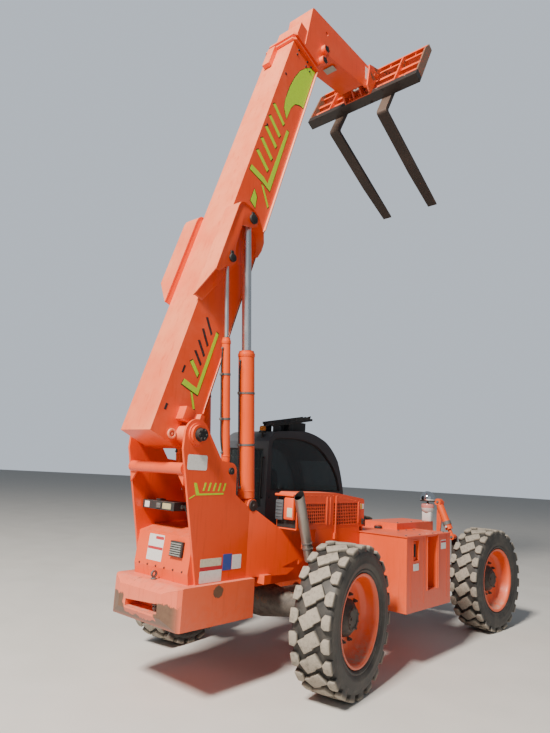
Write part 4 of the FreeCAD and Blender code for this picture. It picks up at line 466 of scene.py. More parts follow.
def lugged_tyre():
    """A tyre about the Z axis: its spun carcass, rim guard and every block of the tread."""
    side_wall = [(0.388, 0.0), (0.388, 0.16), (0.408, 0.165), (0.418, 0.181), (0.432, 0.187),
        (0.446, 0.184), (0.452, 0.19), (0.48, 0.1965), (0.486, 0.1992), (0.5, 0.1996), (0.506, 0.1978),
        (0.532, 0.1995), (0.556, 0.1985), (0.578, 0.195), (0.594, 0.187), (0.606, 0.172), (0.6125, 0.15),
        (0.6155, 0.08), (0.616, 0.0)]
    far_side = [(radius, -across) for radius, across in side_wall[-2:0:-1]]
    whole = bmesh.new()
    add_part(whole, turned(side_wall + far_side, pitches * 6))
    lean = math.radians(32)
    long_block = [(-0.096, -0.063), (0.004, -0.063), (0.01, -0.052), (0.096, -0.052), (0.096, 0.063),
        (-0.004, 0.063), (-0.01, 0.052), (-0.096, 0.052)]
    long_block = [(u * math.sin(lean) + v * math.cos(lean), u * math.cos(lean) - v * math.sin(lean))
        for u, v in long_block]
    shoulder = [(-0.066, 0.14), (-0.06, 0.19), (0.054, 0.19), (0.058, 0.14), (0.018, 0.11),
        (-0.044, 0.114)]
    rib = [(-0.048, 0.186), (-0.042, 0.1985), (0.034, 0.1985), (0.04, 0.186)]
    pitch = bmesh.new()
    for sign in (1, -1):
        add_part(pitch, tread_block([(sign * a, sign * b) for a, b in shoulder], 0.588))
        buttress = plate([(sign * a, sign * b) for a, b in rib], 0.048, 0.004, 1)
        for corner in buttress.verts:
            along, across, high = corner.co
            reach = 0.552 + high
            corner.co = (reach * math.sin(along / reach), reach * math.cos(along / reach),
                across - sign * 0.012 * (high / 0.048) ** 2)
        add_part(pitch, buttress)
    add_part(pitch, tread_block(long_block, 0.606))
    bmesh.ops.spin(pitch, geom=pitch.verts[:] + pitch.edges[:] + pitch.faces[:], cent=(0, 0, 0),
        axis=(0, 0, 1), angle=math.tau * (pitches - 1) / pitches, steps=pitches - 1, use_duplicate=True)
    face_outward(pitch)
    add_part(whole, pitch)
    return whole


tyre_rubber = tyre_material()
for name, axle, side, steer in wheels:
    tyre = lugged_tyre()
    tread = tyre.verts.layers.float.new("tread")
    for corner in tyre.verts:
        out = math.hypot(corner.co.x, corner.co.y)
        corner[tread] = min(1, max(0, (out - 0.62) / 0.025)) if abs(corner.co.z) < 0.197 else 0
    finished("tyre_" + name + "_moulded", placed(tyre, wheel_place(axle, side, steer)), tyre_rubber,
        "wheel_" + name, ["tyre_" + name])


# Wheels: pressed steel rims with a rolled flange and a welded disc, bolted by a ring of
# studs and nuts to a planetary hub, which is cast, dark and oily, with a drain plug.
def rim_profile():
    """The rim's well, flanges and disc as (radius, outboard) pairs."""
    return [(0.166, -0.042), (0.166, 0.002), (0.306, 0.002), (0.33, -0.012), (0.357, -0.052),
        (0.363, -0.11), (0.369, -0.17), (0.392, -0.176), (0.402, -0.176), (0.4045, -0.172),
        (0.4025, -0.168), (0.39, -0.166), (0.3855, -0.158), (0.3855, 0.158), (0.39, 0.166),
        (0.4025, 0.168), (0.4045, 0.172), (0.402, 0.176), (0.392, 0.176), (0.378, 0.171), (0.369, 0.16),
        (0.364, 0.13), (0.353, 0.068), (0.346, 0.052), (0.322, 0.03), (0.295, 0.018), (0.166, 0.018)]


def hub_profile():
    """The planetary hub's cover as (radius, outboard) pairs."""
    return [(0, -0.042), (0.1655, -0.042), (0.1655, 0.022), (0.16, 0.046), (0.153, 0.052), (0.148, 0.06),
        (0.125, 0.078), (0.11, 0.091), (0.104, 0.092), (0.098, 0.104), (0.08, 0.1048), (0.072, 0.098),
        (0, 0.098)]


def hex_head(across, height, washer=1.35):
    """A hexagon bolt head on its washer, standing on the XY plane."""
    whole = turned([(0, 0), (across * washer / 2, 0), (across * washer / 2, height * 0.14),
        (across * washer / 2 - 0.001, height * 0.2), (0, height * 0.2)], 20)
    head = bmesh.new()
    bmesh.ops.create_cone(head, cap_ends=True, segments=6, radius1=across / 2 / 0.866,
        radius2=across / 2 / 0.866, depth=height * 0.8)
    soften(head, across * 0.045, 1)
    add_part(whole, head, shift((0, 0, height * 0.6)))
    return whole


rim_paint = painted_steel("rim_paint", (0.8, 0.085, 0.012, 1), chalky_and_lit, wear=0.3, dust_height=0.9,
    roughness=0.34)
hub_iron = painted_steel("hub_iron", (0.022, 0.017, 0.015, 1), (0.06, 0.045, 0.038, 1),
    chip=(0.14, 0.08, 0.05, 1), wear=0.3, rusted=0.2, rust_scale=8, roughness=0.5, coat=0.0)
for name, axle, side, steer in wheels:
    place = wheel_place(axle, side, steer)
    rim = turned(rim_profile(), 96)
    finished("rim_" + name + "_pressed", placed(rim, place), rim_paint, "wheel_" + name,
        ["rim_" + name])
    hub = turned(hub_profile(), 64)
    for turn in around(10):
        add_part(hub, hex_head(0.03, 0.024), turn @ shift((0.205, 0, 0.017)))
        stud = turned([(0, 0), (0.01, 0), (0.01, 0.038), (0.008, 0.041), (0, 0.041)], 12)
        add_part(hub, stud, turn @ shift((0.205, 0, 0.017)))
    for turn in around(8, 0.5):
        add_part(hub, hex_head(0.013, 0.008), turn @ shift((0.088, 0, 0.1035)))
    add_part(hub, hex_head(0.026, 0.01), shift((0.045, 0, 0.0975)))
    finished("hub_" + name, placed(hub, place), hub_iron, "wheel_" + name)


# Knuckles, axles and drive shafts: cast and forged iron under a coat of black, with mud on
# them, and a bolted cover on each drive housing.
def at(along, across, high):
    """A place given from the rear axle, ahead, to the left and up."""
    return Vector((rear_axle + along, across, high))


def facing(place, outward, up=(0, 0, 1)):
    """A frame at a place whose Z points outward."""
    z = Vector(outward).normalized()
    x = Vector(up).cross(z)
    x = (x if x.length > 1e-4 else Vector((1, 0, 0))).normalized()
    turn = Matrix((x, z.cross(x), z)).transposed().to_4x4()
    return shift(place) @ turn


def bolted(places, outward, across=0.022, height=0.014):
    """Hexagon heads on their washers at several places that look the same way."""
    whole = bmesh.new()
    for place in places:
        add_part(whole, hex_head(across, height), facing(place, outward))
    return whole


def eased_box(low, high, bevel=0.004, segments=2):
    """A box between two corners with its edges eased."""
    low, high = Vector(low), Vector(high)
    part = bmesh.new()
    bmesh.ops.create_cube(part, size=1)
    bmesh.ops.scale(part, vec=high - low, verts=part.verts)
    bmesh.ops.translate(part, vec=(low + high) / 2, verts=part.verts)
    soften(part, bevel, segments)
    return part


def bolt_ring(whole, count, radius, across, height, middle, side):
    """Hexagon heads in a circle on a face that looks to one side."""
    for index in range(count):
        angle = math.tau * index / count
        round_it = Vector((radius * math.cos(angle), 0, radius * math.sin(angle)))
        add_part(whole, hex_head(across, height), facing(middle + round_it, (0, side, 0)))


casting = painted_steel("muddy_casting", (0.024, 0.02, 0.018, 1), (0.06, 0.05, 0.042, 1),
    chip=(0.12, 0.075, 0.05, 1), wear=0.35, rusted=0.3, rust_scale=5, dust_height=1.3, roughness=0.6,
    coat=0.0, edge=0.008)
dress(casting, "rear_axle", "front_axle", "driveline", *["knuckle_" + name for name, _, _, _ in wheels])
case_bolts = bmesh.new()
case_left = 0.1495
for along in (0.0, wheelbase):
    bolt_ring(case_bolts, 10, 0.145, 0.02, 0.012, at(along, case_left, kingpin_high), 1)
finished("axle_case_bolts", case_bolts, casting, "chassis")


# Counterweight: a cast block behind the rear wheels, chipped to brown primer along its
# lower corners, with a threaded lifting eye on top and a tow pin through its pocket.
def opened(material):
    """A paint's nodes, its surface shader, the place that it reads and its colour."""
    tree = material.node_tree
    shader = tree.nodes["Principled BSDF"]
    place = shader_node(tree, "TexCoord").outputs["Object"]
    return tree, shader, place, shader.inputs["Base Color"].links[0].from_socket


def weight_paint():
    """The counterweight's sun-paled paint with painted highlight, and brown primer where knocked."""
    material = painted_steel("weight_paint", (0.8, 0.105, 0.03, 1), (0.91, 0.19, 0.095, 1), wear=0.75,
        rusted=0.22, rust_scale=2.6, roughness=0.42)
    tree, shader, place, before = opened(material)
    along = axes(tree, place)
    torn = speckle(tree, place, 9, 8, 0.7)
    ragged = worked(tree, "MULTIPLY", torn, 0.16)
    height = worked(tree, "ADD", along["Z"], ragged)
    reach = worked(tree, "ADD", unsigned(tree, along["Y"]), ragged)
    back = eased(tree, along["X"], -2.64, -2.7)
    corner = worked(tree, "MULTIPLY", eased(tree, height, 0.888, 0.878), eased(tree, reach, 0.29, 0.3))
    sill = eased(tree, height, 0.745, 0.738)
    scraped = worked(tree, "MULTIPLY", back, worked(tree, "MAXIMUM", corner, sill))
    spot = vector_worked(tree, "DISTANCE", place, (-2.255, -0.468, 0.885))
    blot = eased(tree, worked(tree, "ADD", spot, worked(tree, "MULTIPLY", torn, 0.09)), 0.105, 0.098)
    bare = worked(tree, "MAXIMUM", scraped, blot)
    brown = mixed(tree, speckle(tree, place, 30, 6, 0.7), (0.085, 0.04, 0.024, 1),
        (0.21, 0.115, 0.066, 1))
    apply_inputs(tree, shader, {"Base Color": mixed(tree, bare, before, brown)})
    return material


dress(weight_paint(), "counterweight")
plated_pin = painted_steel("plated_pin", (0.1, 0.095, 0.09, 1), (0.16, 0.15, 0.14, 1), wear=0.6,
    rusted=0.35, rust_scale=14, roughness=0.45, coat=0.0)
dress(plated_pin, "lifting_eye", "hitch_pin")
collar = turned([(0.027, 0), (0.027, 0.008), (0.024, 0.012), (0.012, 0.012), (0.012, 0)], 24)
finished("lifting_eye_collar", placed(collar, shift(at(-1.32, 0, 0.9502))), plated_pin, "chassis")
handle = turned([(0, 0), (0.03, 0), (0.034, 0.004), (0.034, 0.01), (0.03, 0.014), (0.012, 0.016),
    (0.012, 0.03), (0, 0.03)], 24)
finished("hitch_pin_head", placed(handle, shift(at(-1.385, -0.14, 0.7705))), plated_pin, "chassis")


# Tower: two standing plates that carry the boom's pivot and the cylinders' feet, with cap
# screws, a few blank labels and a long lime stroke with plain bars.
def flat_mark(name, corners, place, material, body="chassis", lift=0.0012):
    """A thin sheet of film with the given outline, stuck on a face."""
    part = placed(plate(corners, lift, lift * 0.3, 1), place)
    return finished(name, part, material, body)


def film(name, colour, roughness=0.42, worn=0.2):
    """Printed film: even colour, dulled and nicked by weather."""
    material, tree, shader, place = blank_material(name)
    fine = speckle(tree, place, 38, 8, 0.7)
    grime = mixed(tree, eased(tree, fine, 0.45, 0.8, 0, worn * 1.6), colour, (0.2, 0.15, 0.11, 1))
    apply_inputs(tree, shader,
        {"Base Color": grime, "Roughness": eased(tree, fine, 0.3, 0.8, roughness, 0.75)})
    return material


lime_film = film("lime_film", (0.42, 0.68, 0.012, 1))
white_film = film("white_film", (0.72, 0.71, 0.68, 1))
red_film = film("red_film", (0.5, 0.02, 0.03, 1))
blue_film = film("blue_film", (0.03, 0.07, 0.3, 1))
black_film = film("black_film", (0.012, 0.012, 0.013, 1))
tower_outer, cap_face = 0.401, 0.4785
boom_pivot = at(-1.297, 0, 2.207)
lift_foot, slave_foot = (-0.54, 1.6), (-0.86, 1.91)
right_face = (0, -1, 0)


def panel(width, height, chamfer=0.004):
    """A rectangle's outline about its middle, with clipped corners."""
    w, h, c = width / 2, height / 2, chamfer
    return [(-w + c, -h), (w - c, -h), (w, -h + c), (w, h - c), (w - c, h), (-w + c, h), (-w, h - c),
        (-w, -h + c)]


def on_tower(along, high):
    """A frame on the tower's right face, X ahead and Y up."""
    return facing(at(along, -tower_outer - 0.0002, high), right_face)


flat_mark("tower_label_back", panel(0.225, 0.13, 0.012), on_tower(-1.272, 1.969), white_film)
cream_film = film("cream_film", (0.62, 0.57, 0.42, 1), worn=0.35)
for index, (along, high, width, tall, sheet_film) in enumerate(((-1.024, 1.005, 0.26, 0.1, white_film),
        (-1.024, 1.072, 0.26, 0.03, red_film), (-1.03, 1.122, 0.25, 0.066, cream_film),
        (-0.832, 1.11, 0.11, 0.14, blue_film), (-0.712, 1.105, 0.118, 0.125, white_film))):
    flat_mark("tower_label_%d" % index, panel(width, tall), on_tower(along, high), sheet_film)
stroke = [(-1.295, 1.797), (-1.262, 1.795), (-1.228, 1.706), (-0.936, 1.714), (-0.938, 1.699),
    (-1.262, 1.69)]
flat_mark("tower_stroke", stroke, on_tower(0, 0), lime_film)
flat_mark("tower_tail", [(-1.34, 1.664), (-1.325, 1.662), (-1.272, 1.688), (-1.278, 1.697)],
    on_tower(0, 0), lime_film)
for index in range(5):
    start = -1.19 + 0.06 * index
    flat_mark("tower_bar_%d" % index, [(start, 1.728), (start + 0.02, 1.728), (start + 0.042, 1.8),
        (start + 0.022, 1.8)], on_tower(0, 0), lime_film)
black_steel = painted_steel("black_steel", (0.012, 0.011, 0.011, 1), (0.04, 0.036, 0.033, 1),
    chip=(0.13, 0.11, 0.1, 1), wear=0.45, roughness=0.5, coat=0.0)
dress(black_steel, "boom_pivot_pin", "cylinder_foot_pins")
pin_bolts = bmesh.new()
for side in (1, -1):
    bolt_ring(pin_bolts, 6, 0.04, 0.018, 0.01, boom_pivot + Vector((0, side * cap_face, 0)), side)
    for along, high in (lift_foot, slave_foot):
        add_part(pin_bolts, hex_head(0.024, 0.01), facing(at(along, side * (tower_outer + 0.0155), high),
            (0, side, 0)))
finished("pivot_cap_screws", pin_bolts, black_steel, "chassis")


# Lamp box: a folded steel box between the tower's plates with a row of cap screws, a blank
# card, and a tail lamp of clear plastic over grey reflector bands, screwed to its face.
box_face_out = Vector((-0.29, 0, 0.03)).normalized()


def on_lamp_box(across, high, out=0.0002):
    """A frame on the lamp box's leaning back face, X to the right and Y up its slope."""
    foot = at(-1.265 + 0.03 * (high - 1.04) / 0.29, across, high)
    return facing(foot + box_face_out * out, box_face_out)


box_screws = bmesh.new()
for index in range(6):
    add_part(box_screws, hex_head(0.014, 0.006), on_lamp_box(-0.3 + 0.12 * index, 1.048, 0))
finished("lamp_box_screws", box_screws, black_steel, "chassis")
flat_mark("lamp_box_card", panel(0.215, 0.225), on_lamp_box(0.105, 1.2), white_film)
flat_mark("lamp_box_card_band", panel(0.21, 0.024), on_lamp_box(0.105, 1.195, 0.0014), red_film,
    lift=0.0006)
flat_mark("lamp_box_card_top", panel(0.115, 0.026), on_lamp_box(0.06, 1.285, 0.0014), red_film,
    lift=0.0006)


def lens_material(name, colour, cloudy=0.25, clear=0.75):
    """Moulded lens plastic, tinted right through, hazed by dust and fine scratches."""
    material, tree, shader, place = blank_material(name)
    haze = speckle(tree, place, 60, 8, 0.7)
    apply_inputs(tree, shader,
        {"Base Color": mixed(tree, eased(tree, haze, 0.4, 0.9, 0, cloudy), colour, (0.55, 0.5, 0.44, 1)),
        "Roughness": eased(tree, haze, 0.3, 0.8, 0.1, 0.38), "Transmission Weight": clear, "IOR": 1.49})
    return material


clear_lens = lens_material("clear_lens", (0.82, 0.84, 0.84, 1))
amber_lens = lens_material("amber_lens", (0.9, 0.3, 0.02, 1), clear=0.45)
lamp_frame = on_lamp_box(-0.205, 1.222, 0)
housing = placed(eased_box((-0.08, -0.065, -0.004), (0.08, 0.065, 0.028), 0.006), lamp_frame)
finished("tail_lamp_housing", housing, black_steel, "chassis", ["tail_lamp"])
bands = bmesh.new()
for index in range(6):
    low_edge = -0.057 + 0.019 * index
    add_part(bands, eased_box((-0.07, low_edge, 0.0275), (0.07, low_edge + 0.012, 0.0355), 0.0035),
        lamp_frame)
finished("tail_lamp_bands", bands, lens_material("grey_lens", (0.3, 0.31, 0.29, 1), 0.3, 0.2), "chassis")
lamp_screws = bmesh.new()
for across in (-0.075, 0.075):
    for up in (-0.06, 0.06):
        add_part(lamp_screws, hex_head(0.007, 0.003), lamp_frame @ shift((across, up, 0.0278)))
finished("tail_lamp_screws", lamp_screws, plated_pin, "chassis")


# Valve box on the shelf above: a painted steel cover with a hasp, unions on its right end,
# and three black tubes that lead down from them.
def bent_tube(name, points, radius, material, body="chassis"):
    """A rigid tube along a few points, its bends smoothed by the spline."""
    line = bpy.data.curves.new(name + "_line", "CURVE")
    line.dimensions = "3D"
    line.bevel_depth = radius
    line.bevel_resolution = 3
    line.resolution_u = 6
    line.use_fill_caps = True
    spline = line.splines.new("NURBS")
    spline.points.add(len(points) - 1)
    for point, place in zip(spline.points, points):
        point.co = (*place, 1)
    spline.order_u = 3
    spline.use_endpoint_u = True
    shape = bpy.data.objects.new(name + "_line", line)
    scene.collection.objects.link(shape)
    bpy.context.view_layer.update()
    mesh = bpy.data.meshes.new_from_object(shape.evaluated_get(bpy.context.evaluated_depsgraph_get()))
    bpy.data.objects.remove(shape)
    part = bmesh.new()
    part.from_mesh(mesh)
    bmesh.ops.remove_doubles(part, verts=part.verts, dist=1e-5)
    face_outward(part)
    bpy.data.meshes.remove(mesh)
    return finished(name, part, material, body, crease=60)


def union(place, outward, radius=0.016, long=0.03):
    """A hydraulic union: a hexagon nut with its collar."""
    whole = turned([(0, 0), (radius * 0.7, 0), (radius * 0.7, long), (0, long)], 16)
    nut = bmesh.new()
    bmesh.ops.create_cone(nut, cap_ends=True, segments=6, radius1=radius, radius2=radius,
        depth=long * 0.5)
    soften(nut, radius * 0.1, 1)
    add_part(whole, nut, shift((0, 0, long * 0.5)))
    placed(whole, facing(place, outward))
    return whole


grey_cover = painted_steel("grey_cover", (0.02, 0.02, 0.021, 1), (0.034, 0.033, 0.032, 1),
    chip=(0.3, 0.28, 0.25, 1), wear=0.4, roughness=0.45)
dress(grey_cover, "valve_box")
hasp = eased_box(at(-1.242, 0.1, 1.545), at(-1.2298, 0.16, 1.59), 0.003)
add_part(hasp, bolted([at(-1.242, 0.115, 1.567), at(-1.242, 0.145, 1.567)], (-1, 0, 0), 0.01, 0.004))
add_part(hasp, eased_box(at(-1.17, 0.2, 1.6045), at(-1.1, 0.26, 1.622), 0.004))
finished("valve_box_hasp", hasp, plated_pin, "chassis")
flat_mark("valve_box_card", panel(0.12, 0.05), facing(at(-1.2302, 0.02, 1.567), (-1, 0, 0)),
    film("faded_card", (0.5, 0.42, 0.22, 1), worn=0.5))
flat_mark("valve_box_card_left", panel(0.07, 0.055), facing(at(-1.2302, 0.31, 1.567), (-1, 0, 0)),
    white_film)
rubber_black = film("rubber_black", (0.012, 0.012, 0.012, 1), 0.6, 0.25)
for index, across in enumerate((-0.13, -0.19, -0.25)):
    bent_tube("valve_tube_%d" % index,
        [at(-1.14, -0.078, 1.56 + 0.006 * index), at(-1.14, across, 1.575 + 0.01 * index),
        at(-1.13, across - 0.02, 1.53), at(-1.1, across - 0.02, 1.44), at(-1.08, across - 0.02, 1.375)],
        0.01, rubber_black)
    nut = union(at(-1.14, -0.0795, 1.56 + 0.006 * index), right_face, 0.014, 0.02)
    finished("valve_union_%d" % index, nut, plated_pin, "chassis")


# Boom: three welded box sections, one in another, painted and dulled by sun, with a painted
# highlight on faces towards the key light; screws that hold the wear pads, a pale strip along
# the lower edge painted bright as a highlight, and lime strokes.
boom_paint = painted_steel("boom_paint", orange, bleached_and_lit, wear=0.28)
dress(boom_paint, "boom_base", "boom_middle", "boom_fly")
boom_lean = math.radians(72.05)
boom_half, boom_low = 0.216, -0.133
boom_along = Vector((math.cos(boom_lean), 0, math.sin(boom_lean)))
boom_up = Vector((-math.sin(boom_lean), 0, math.cos(boom_lean)))
boom_frame = shift(boom_pivot) @ spin(-boom_lean, "Y")
lift_eye, slave_eye = (2.26, 0.195), (1.71, 0.28)


def on_boom(along, across, up):
    """A place given along the boom from its pivot, to the left, and up off its middle."""
    return boom_pivot + along * boom_along + Vector((0, across, 0)) + up * boom_up


def boom_side(side, out=0.0002):
    """A frame on the boom's side, at its pivot, with X towards the head."""
    z = Vector((0, side, 0))
    turn = Matrix((boom_along, z.cross(boom_along), z)).transposed().to_4x4()
    return shift(on_boom(0, side * (boom_half + out), 0)) @ turn


outline_film = film("outline_film", (0.006, 0.006, 0.005, 1))
outline_width = 0.011
boom_marks = [
    # name and outline of each plain mark, along the boom and up off its middle
    ("leaf", [(4.31, -0.112), (4.96, -0.108), (4.93, -0.02), (4.86, 0.04), (4.72, 0.115),
              (4.55, 0.158), (4.36, 0.18), (4.14, 0.182), (4.03, 0.16), (3.93, 0.075),
              (4.12, 0.068), (4.23, 0.03), (4.28, -0.025), (4.305, -0.07)]),
    ("tick", [(3.806, 0.018), (3.812, -0.022), (2.905, -0.035), (2.922, 0.1), (2.915, 0.318),
              (2.985, 0.314), (2.99, 0.11), (2.965, 0.03)]),
    ("tail", [(2.89, 0.11), (2.89, 0.072), (2.735, -0.086), (2.7, -0.078)]),
    *[("bar_%d" % index, [(top, 0.322), (top + 0.04, 0.293), (foot + 0.05, 0.078),
                          (foot, 0.09)]) for index, (top, foot) in enumerate(
        ((3.906, 3.8), (3.716, 3.61), (3.546, 3.44), (3.366, 3.25), (3.186, 3.08)))],
    ("wedge", [(2.763, 0.172), (2.7, 0.105), (2.57, 0.08), (2.6, 0.172)]),
    ("low_tick", [(1.05, 0.03), (1.044, -0.006), (0.392, -0.004), (0.397, 0.092),
                  (0.405, 0.21), (0.462, 0.2), (0.452, 0.1), (0.447, 0.034)]),
    ("low_tail", [(0.385, 0.088), (0.385, 0.062), (0.262, -0.022), (0.25, 0.0)]),
    ("low_bar", [(0.634, 0.203), (0.666, 0.18), (0.584, 0.066), (0.54, 0.07)]),
]
dark_marks = [[(top, 0.205), (top + 0.017, 0.18), (foot + 0.028, rise), (foot, 0.078)] for top, foot,
    rise in ((1.113, 0.982, 0.065), (0.988, 0.857, 0.065), (0.863, 0.747, 0.065), (0.752, 0.652, 0.07))]
dark_marks.append([(0.5, 0.254), (0.575, 0.254), (0.578, 0.232), (0.503, 0.232)])


def lime_mark(name, corners, side):
    """A lime mark on a slightly larger dark one, which leaves a thin dark outline."""
    middle = Vector((sum(x for x, _ in corners), sum(y for _, y in corners))) / len(corners)
    wider = [tuple(Vector(corner) + (Vector(corner) - middle).normalized() * outline_width)
        for corner in corners]
    flat_mark(name + "_edge", wider, boom_side(side), outline_film, "boom", 0.0008)
    flat_mark(name, corners, boom_side(side, 0.0011), lime_film, "boom", 0.0008)


for side, mark in ((-1, "right"), (1, "left")):
    for name, corners in boom_marks:
        lime_mark("boom_%s_%s" % (name, mark), [(x, -side * y) for x, y in corners], side)
    for index, corners in enumerate(dark_marks):
        flat_mark("boom_dark_bar_%s_%d" % (mark, index), [(x, -side * y) for x, y in corners],
            boom_side(side), black_film, "boom", 0.0008)


# Pale paint for the boom's lower edge strip and tail eyes: a painted highlight.
highlight_paint = painted_steel("bright_edge", (0.86, 0.24, 0.12, 1), (0.9, 0.36, 0.22, 1), wear=0.6,
    roughness=0.4)
pad_screws = bmesh.new()
for side in (1, -1):
    for along in (4.87, 4.95):
        for up in (-0.02, 0.06, 0.24):
            add_part(pad_screws, hex_head(0.022, 0.01),
                facing(on_boom(along, side * boom_half, up), (0, side, 0)))
    for along in (1.4, 2.45, 3.6, 4.45):
        add_part(pad_screws, turned([(0, 0), (0.016, 0), (0.016, 0.003), (0.009, 0.005), (0, 0.005)], 16),
            facing(on_boom(along, side * boom_half, 0.3), (0, side, 0)))
finished("boom_pad_screws", pad_screws, black_steel, "boom")
# A pale strip along each lower edge of the boom: a painted highlight.
highlight_strip = bmesh.new()
for side in (1, -1):
    for start, stop, width in ((0.3, 2.42, 0.012), (2.42, 4.99, 0.026)):
        strip = eased_box((start, side * (boom_half + width / 2) - width / 2, boom_low - 0.0035),
            (stop, side * (boom_half + width / 2) + width / 2, boom_low + 0.0095), 0.002, 1)
        add_part(highlight_strip, strip, boom_frame)
finished("boom_edge_strip", highlight_strip, highlight_paint, "boom")
tail_eyes, stop_blocks, slots = bmesh.new(), bmesh.new(), bmesh.new()
for side in (1, -1):
    for eye in (turned([(0.026, 0), (0.044, 0), (0.046, 0.003), (0.046, 0.012), (0.042, 0.016),
            (0.03, 0.016), (0.026, 0.012)], 32), hex_head(0.022, 0.014)):
        add_part(tail_eyes, eye, facing(on_boom(-0.045, side * boom_half, 0.133), (0, side, 0)))
    add_part(stop_blocks, eased_box((0.09, side * (boom_half + 0.048) - 0.05, 0.02),
        (0.215, side * (boom_half + 0.048) + 0.05, 0.145), 0.006), boom_frame)
    add_part(slots, eased_box((0.118, side * (boom_half + 0.0006) - 0.001, 0.272),
        (0.178, side * (boom_half + 0.0006) + 0.001, 0.298), 0.0009, 1), boom_frame)
# The tail eyes take the same pale paint: a painted highlight.
finished("boom_tail_eyes", tail_eyes, highlight_paint, "boom")
finished("boom_stop_blocks", stop_blocks, orange_paint, "boom")
finished("boom_slots", slots, black_film, "boom")


# Cylinder pods: bent plates welded to the boom's sides, each an open box whose rim stands
# proud of its side plate, with dark pin heads and keepers over the cylinders' upper eyes.
pod_inner, pod_face, pod_rim = boom_half, 0.402, 0.412
side_plate = [(1.5, 0.42), (2.25, 0.42), (2.32, 0.395), (2.35, 0.335), (2.352, 0.24), (2.325, 0.15),
    (2.285, 0.118), (2.225, 0.118), (2.185, 0.15), (2.14, 0.235), (2.105, 0.296), (1.85, 0.282),
    (1.785, 0.262), (1.745, 0.226), (1.69, 0.222), (1.64, 0.25), (1.59, 0.31), (1.5, 0.372)]
inner_plate = [(1.15, 0.35), (1.82, 0.07), (2.04, -0.108), (2.16, -0.108), (2.262, -0.04), (2.325, 0.08),
    (2.355, 0.23), (2.355, 0.34), (2.322, 0.4), (2.25, 0.422), (1.15, 0.422)]
rim_line = [
    # along the boom, up off its middle, reach of the rim to the side
    (1.18, 0.424, 0.412), (2.25, 0.424, 0.412), (2.3, 0.415, 0.412), (2.335, 0.39, 0.412),
    (2.356, 0.34, 0.412), (2.362, 0.23, 0.412), (2.345, 0.13, 0.4), (2.315, 0.04, 0.372),
    (2.265, -0.048, 0.345), (2.2, -0.1, 0.325), (2.12, -0.118, 0.305), (2.04, -0.116, 0.28)]


def open_pod(side):
    """One pod, built along the boom, up off its middle and outward, then put in place."""
    part = bmesh.new()
    add_part(part, plate(side_plate, 0.012, 0.002), shift((0, 0, pod_face - 0.012)))
    add_part(part, plate(inner_plate, 0.01, 0.002), shift((0, 0, pod_inner)))
    rim = bmesh.new()
    near = [rim.verts.new((s, n, pod_inner - 0.004)) for s, n, _ in rim_line]
    far = [rim.verts.new((s, n, reach)) for s, n, reach in rim_line]
    rows = [[rim.edges.new(pair) for pair in zip(row, row[1:])] for row in (near, far)]
    bmesh.ops.bridge_loops(rim, edges=rows[0] + rows[1])
    face_outward(rim)
    bmesh.ops.solidify(rim, geom=rim.faces[:], thickness=0.012)
    face_outward(rim)
    add_part(part, rim)
    taper = Vector((pod_rim - pod_inner, 0, -0.26)).normalized()
    cut = bmesh.ops.bisect_plane(part, geom=part.verts[:] + part.edges[:] + part.faces[:],
        plane_co=(1.24, 0, pod_inner + 0.006), plane_no=taper, clear_inner=True)
    bmesh.ops.holes_fill(part,
        edges=[item for item in cut["geom_cut"] if isinstance(item, bmesh.types.BMEdge)], sides=0)
    place = Matrix((boom_along, boom_up, (0, side, 0))).transposed().to_4x4()
    placed(part, shift(boom_pivot) @ place)
    face_outward(part)
    return part


pods, pin_heads = bmesh.new(), bmesh.new()
for side in (1, -1):
    add_part(pods, open_pod(side))
    for (along, up), head in ((lift_eye, 0.05), (slave_eye, 0.04)):
        add_part(pin_heads,
            turned([(0, 0), (head, 0), (head + 0.002, 0.003), (head, 0.02), (head - 0.006, 0.024),
            (0, 0.024)], 40), facing(on_boom(along, side * (pod_face - 0.0004), up), (0, side, 0)))
        keeper = eased_box((-0.022, -0.02, 0), (0.072, 0.02, 0.012), 0.004)
        add_part(pin_heads, keeper, shift(on_boom(along, side * pod_face, up)) @ spin(-boom_lean, "Y")
            @ spin(-0.5, "Y") @ spin(-side * math.pi / 2, "X"))
finished("pod_plates", pods, boom_paint, "boom", ["cylinder_pods"])
finished("pod_pin_heads", pin_heads, black_steel, "boom")


# Cylinders: honed barrels painted with the machine, ground and chromed rods, a threaded
# gland with pin holes, and welded ports with steel tubes strapped along each barrel.
def chrome_material():
    """Hard chrome with fine rings from the seals, a film of oil and dull dust."""
    material, tree, shader, place = blank_material("chromed_rod")
    film_of_oil = speckle(tree, place, 7, 6, 0.6, (1, 1, 0.35))
    fine = speckle(tree, place, 120, 3, 0.6, (1, 1, 3.5))
    bumpy = bumped(tree, fine, 0.06, 0.0006)
    apply_inputs(tree, shader,
        {"Base Color": mixed(tree, eased(tree, film_of_oil, 0.35, 0.7), (0.93, 0.95, 0.97, 1),
        (0.78, 0.76, 0.72, 1)), "Metallic": 1.0, "Normal": bumpy,
        "Roughness": eased(tree, film_of_oil, 0.3, 0.7, 0.26, 0.4)})
    return material


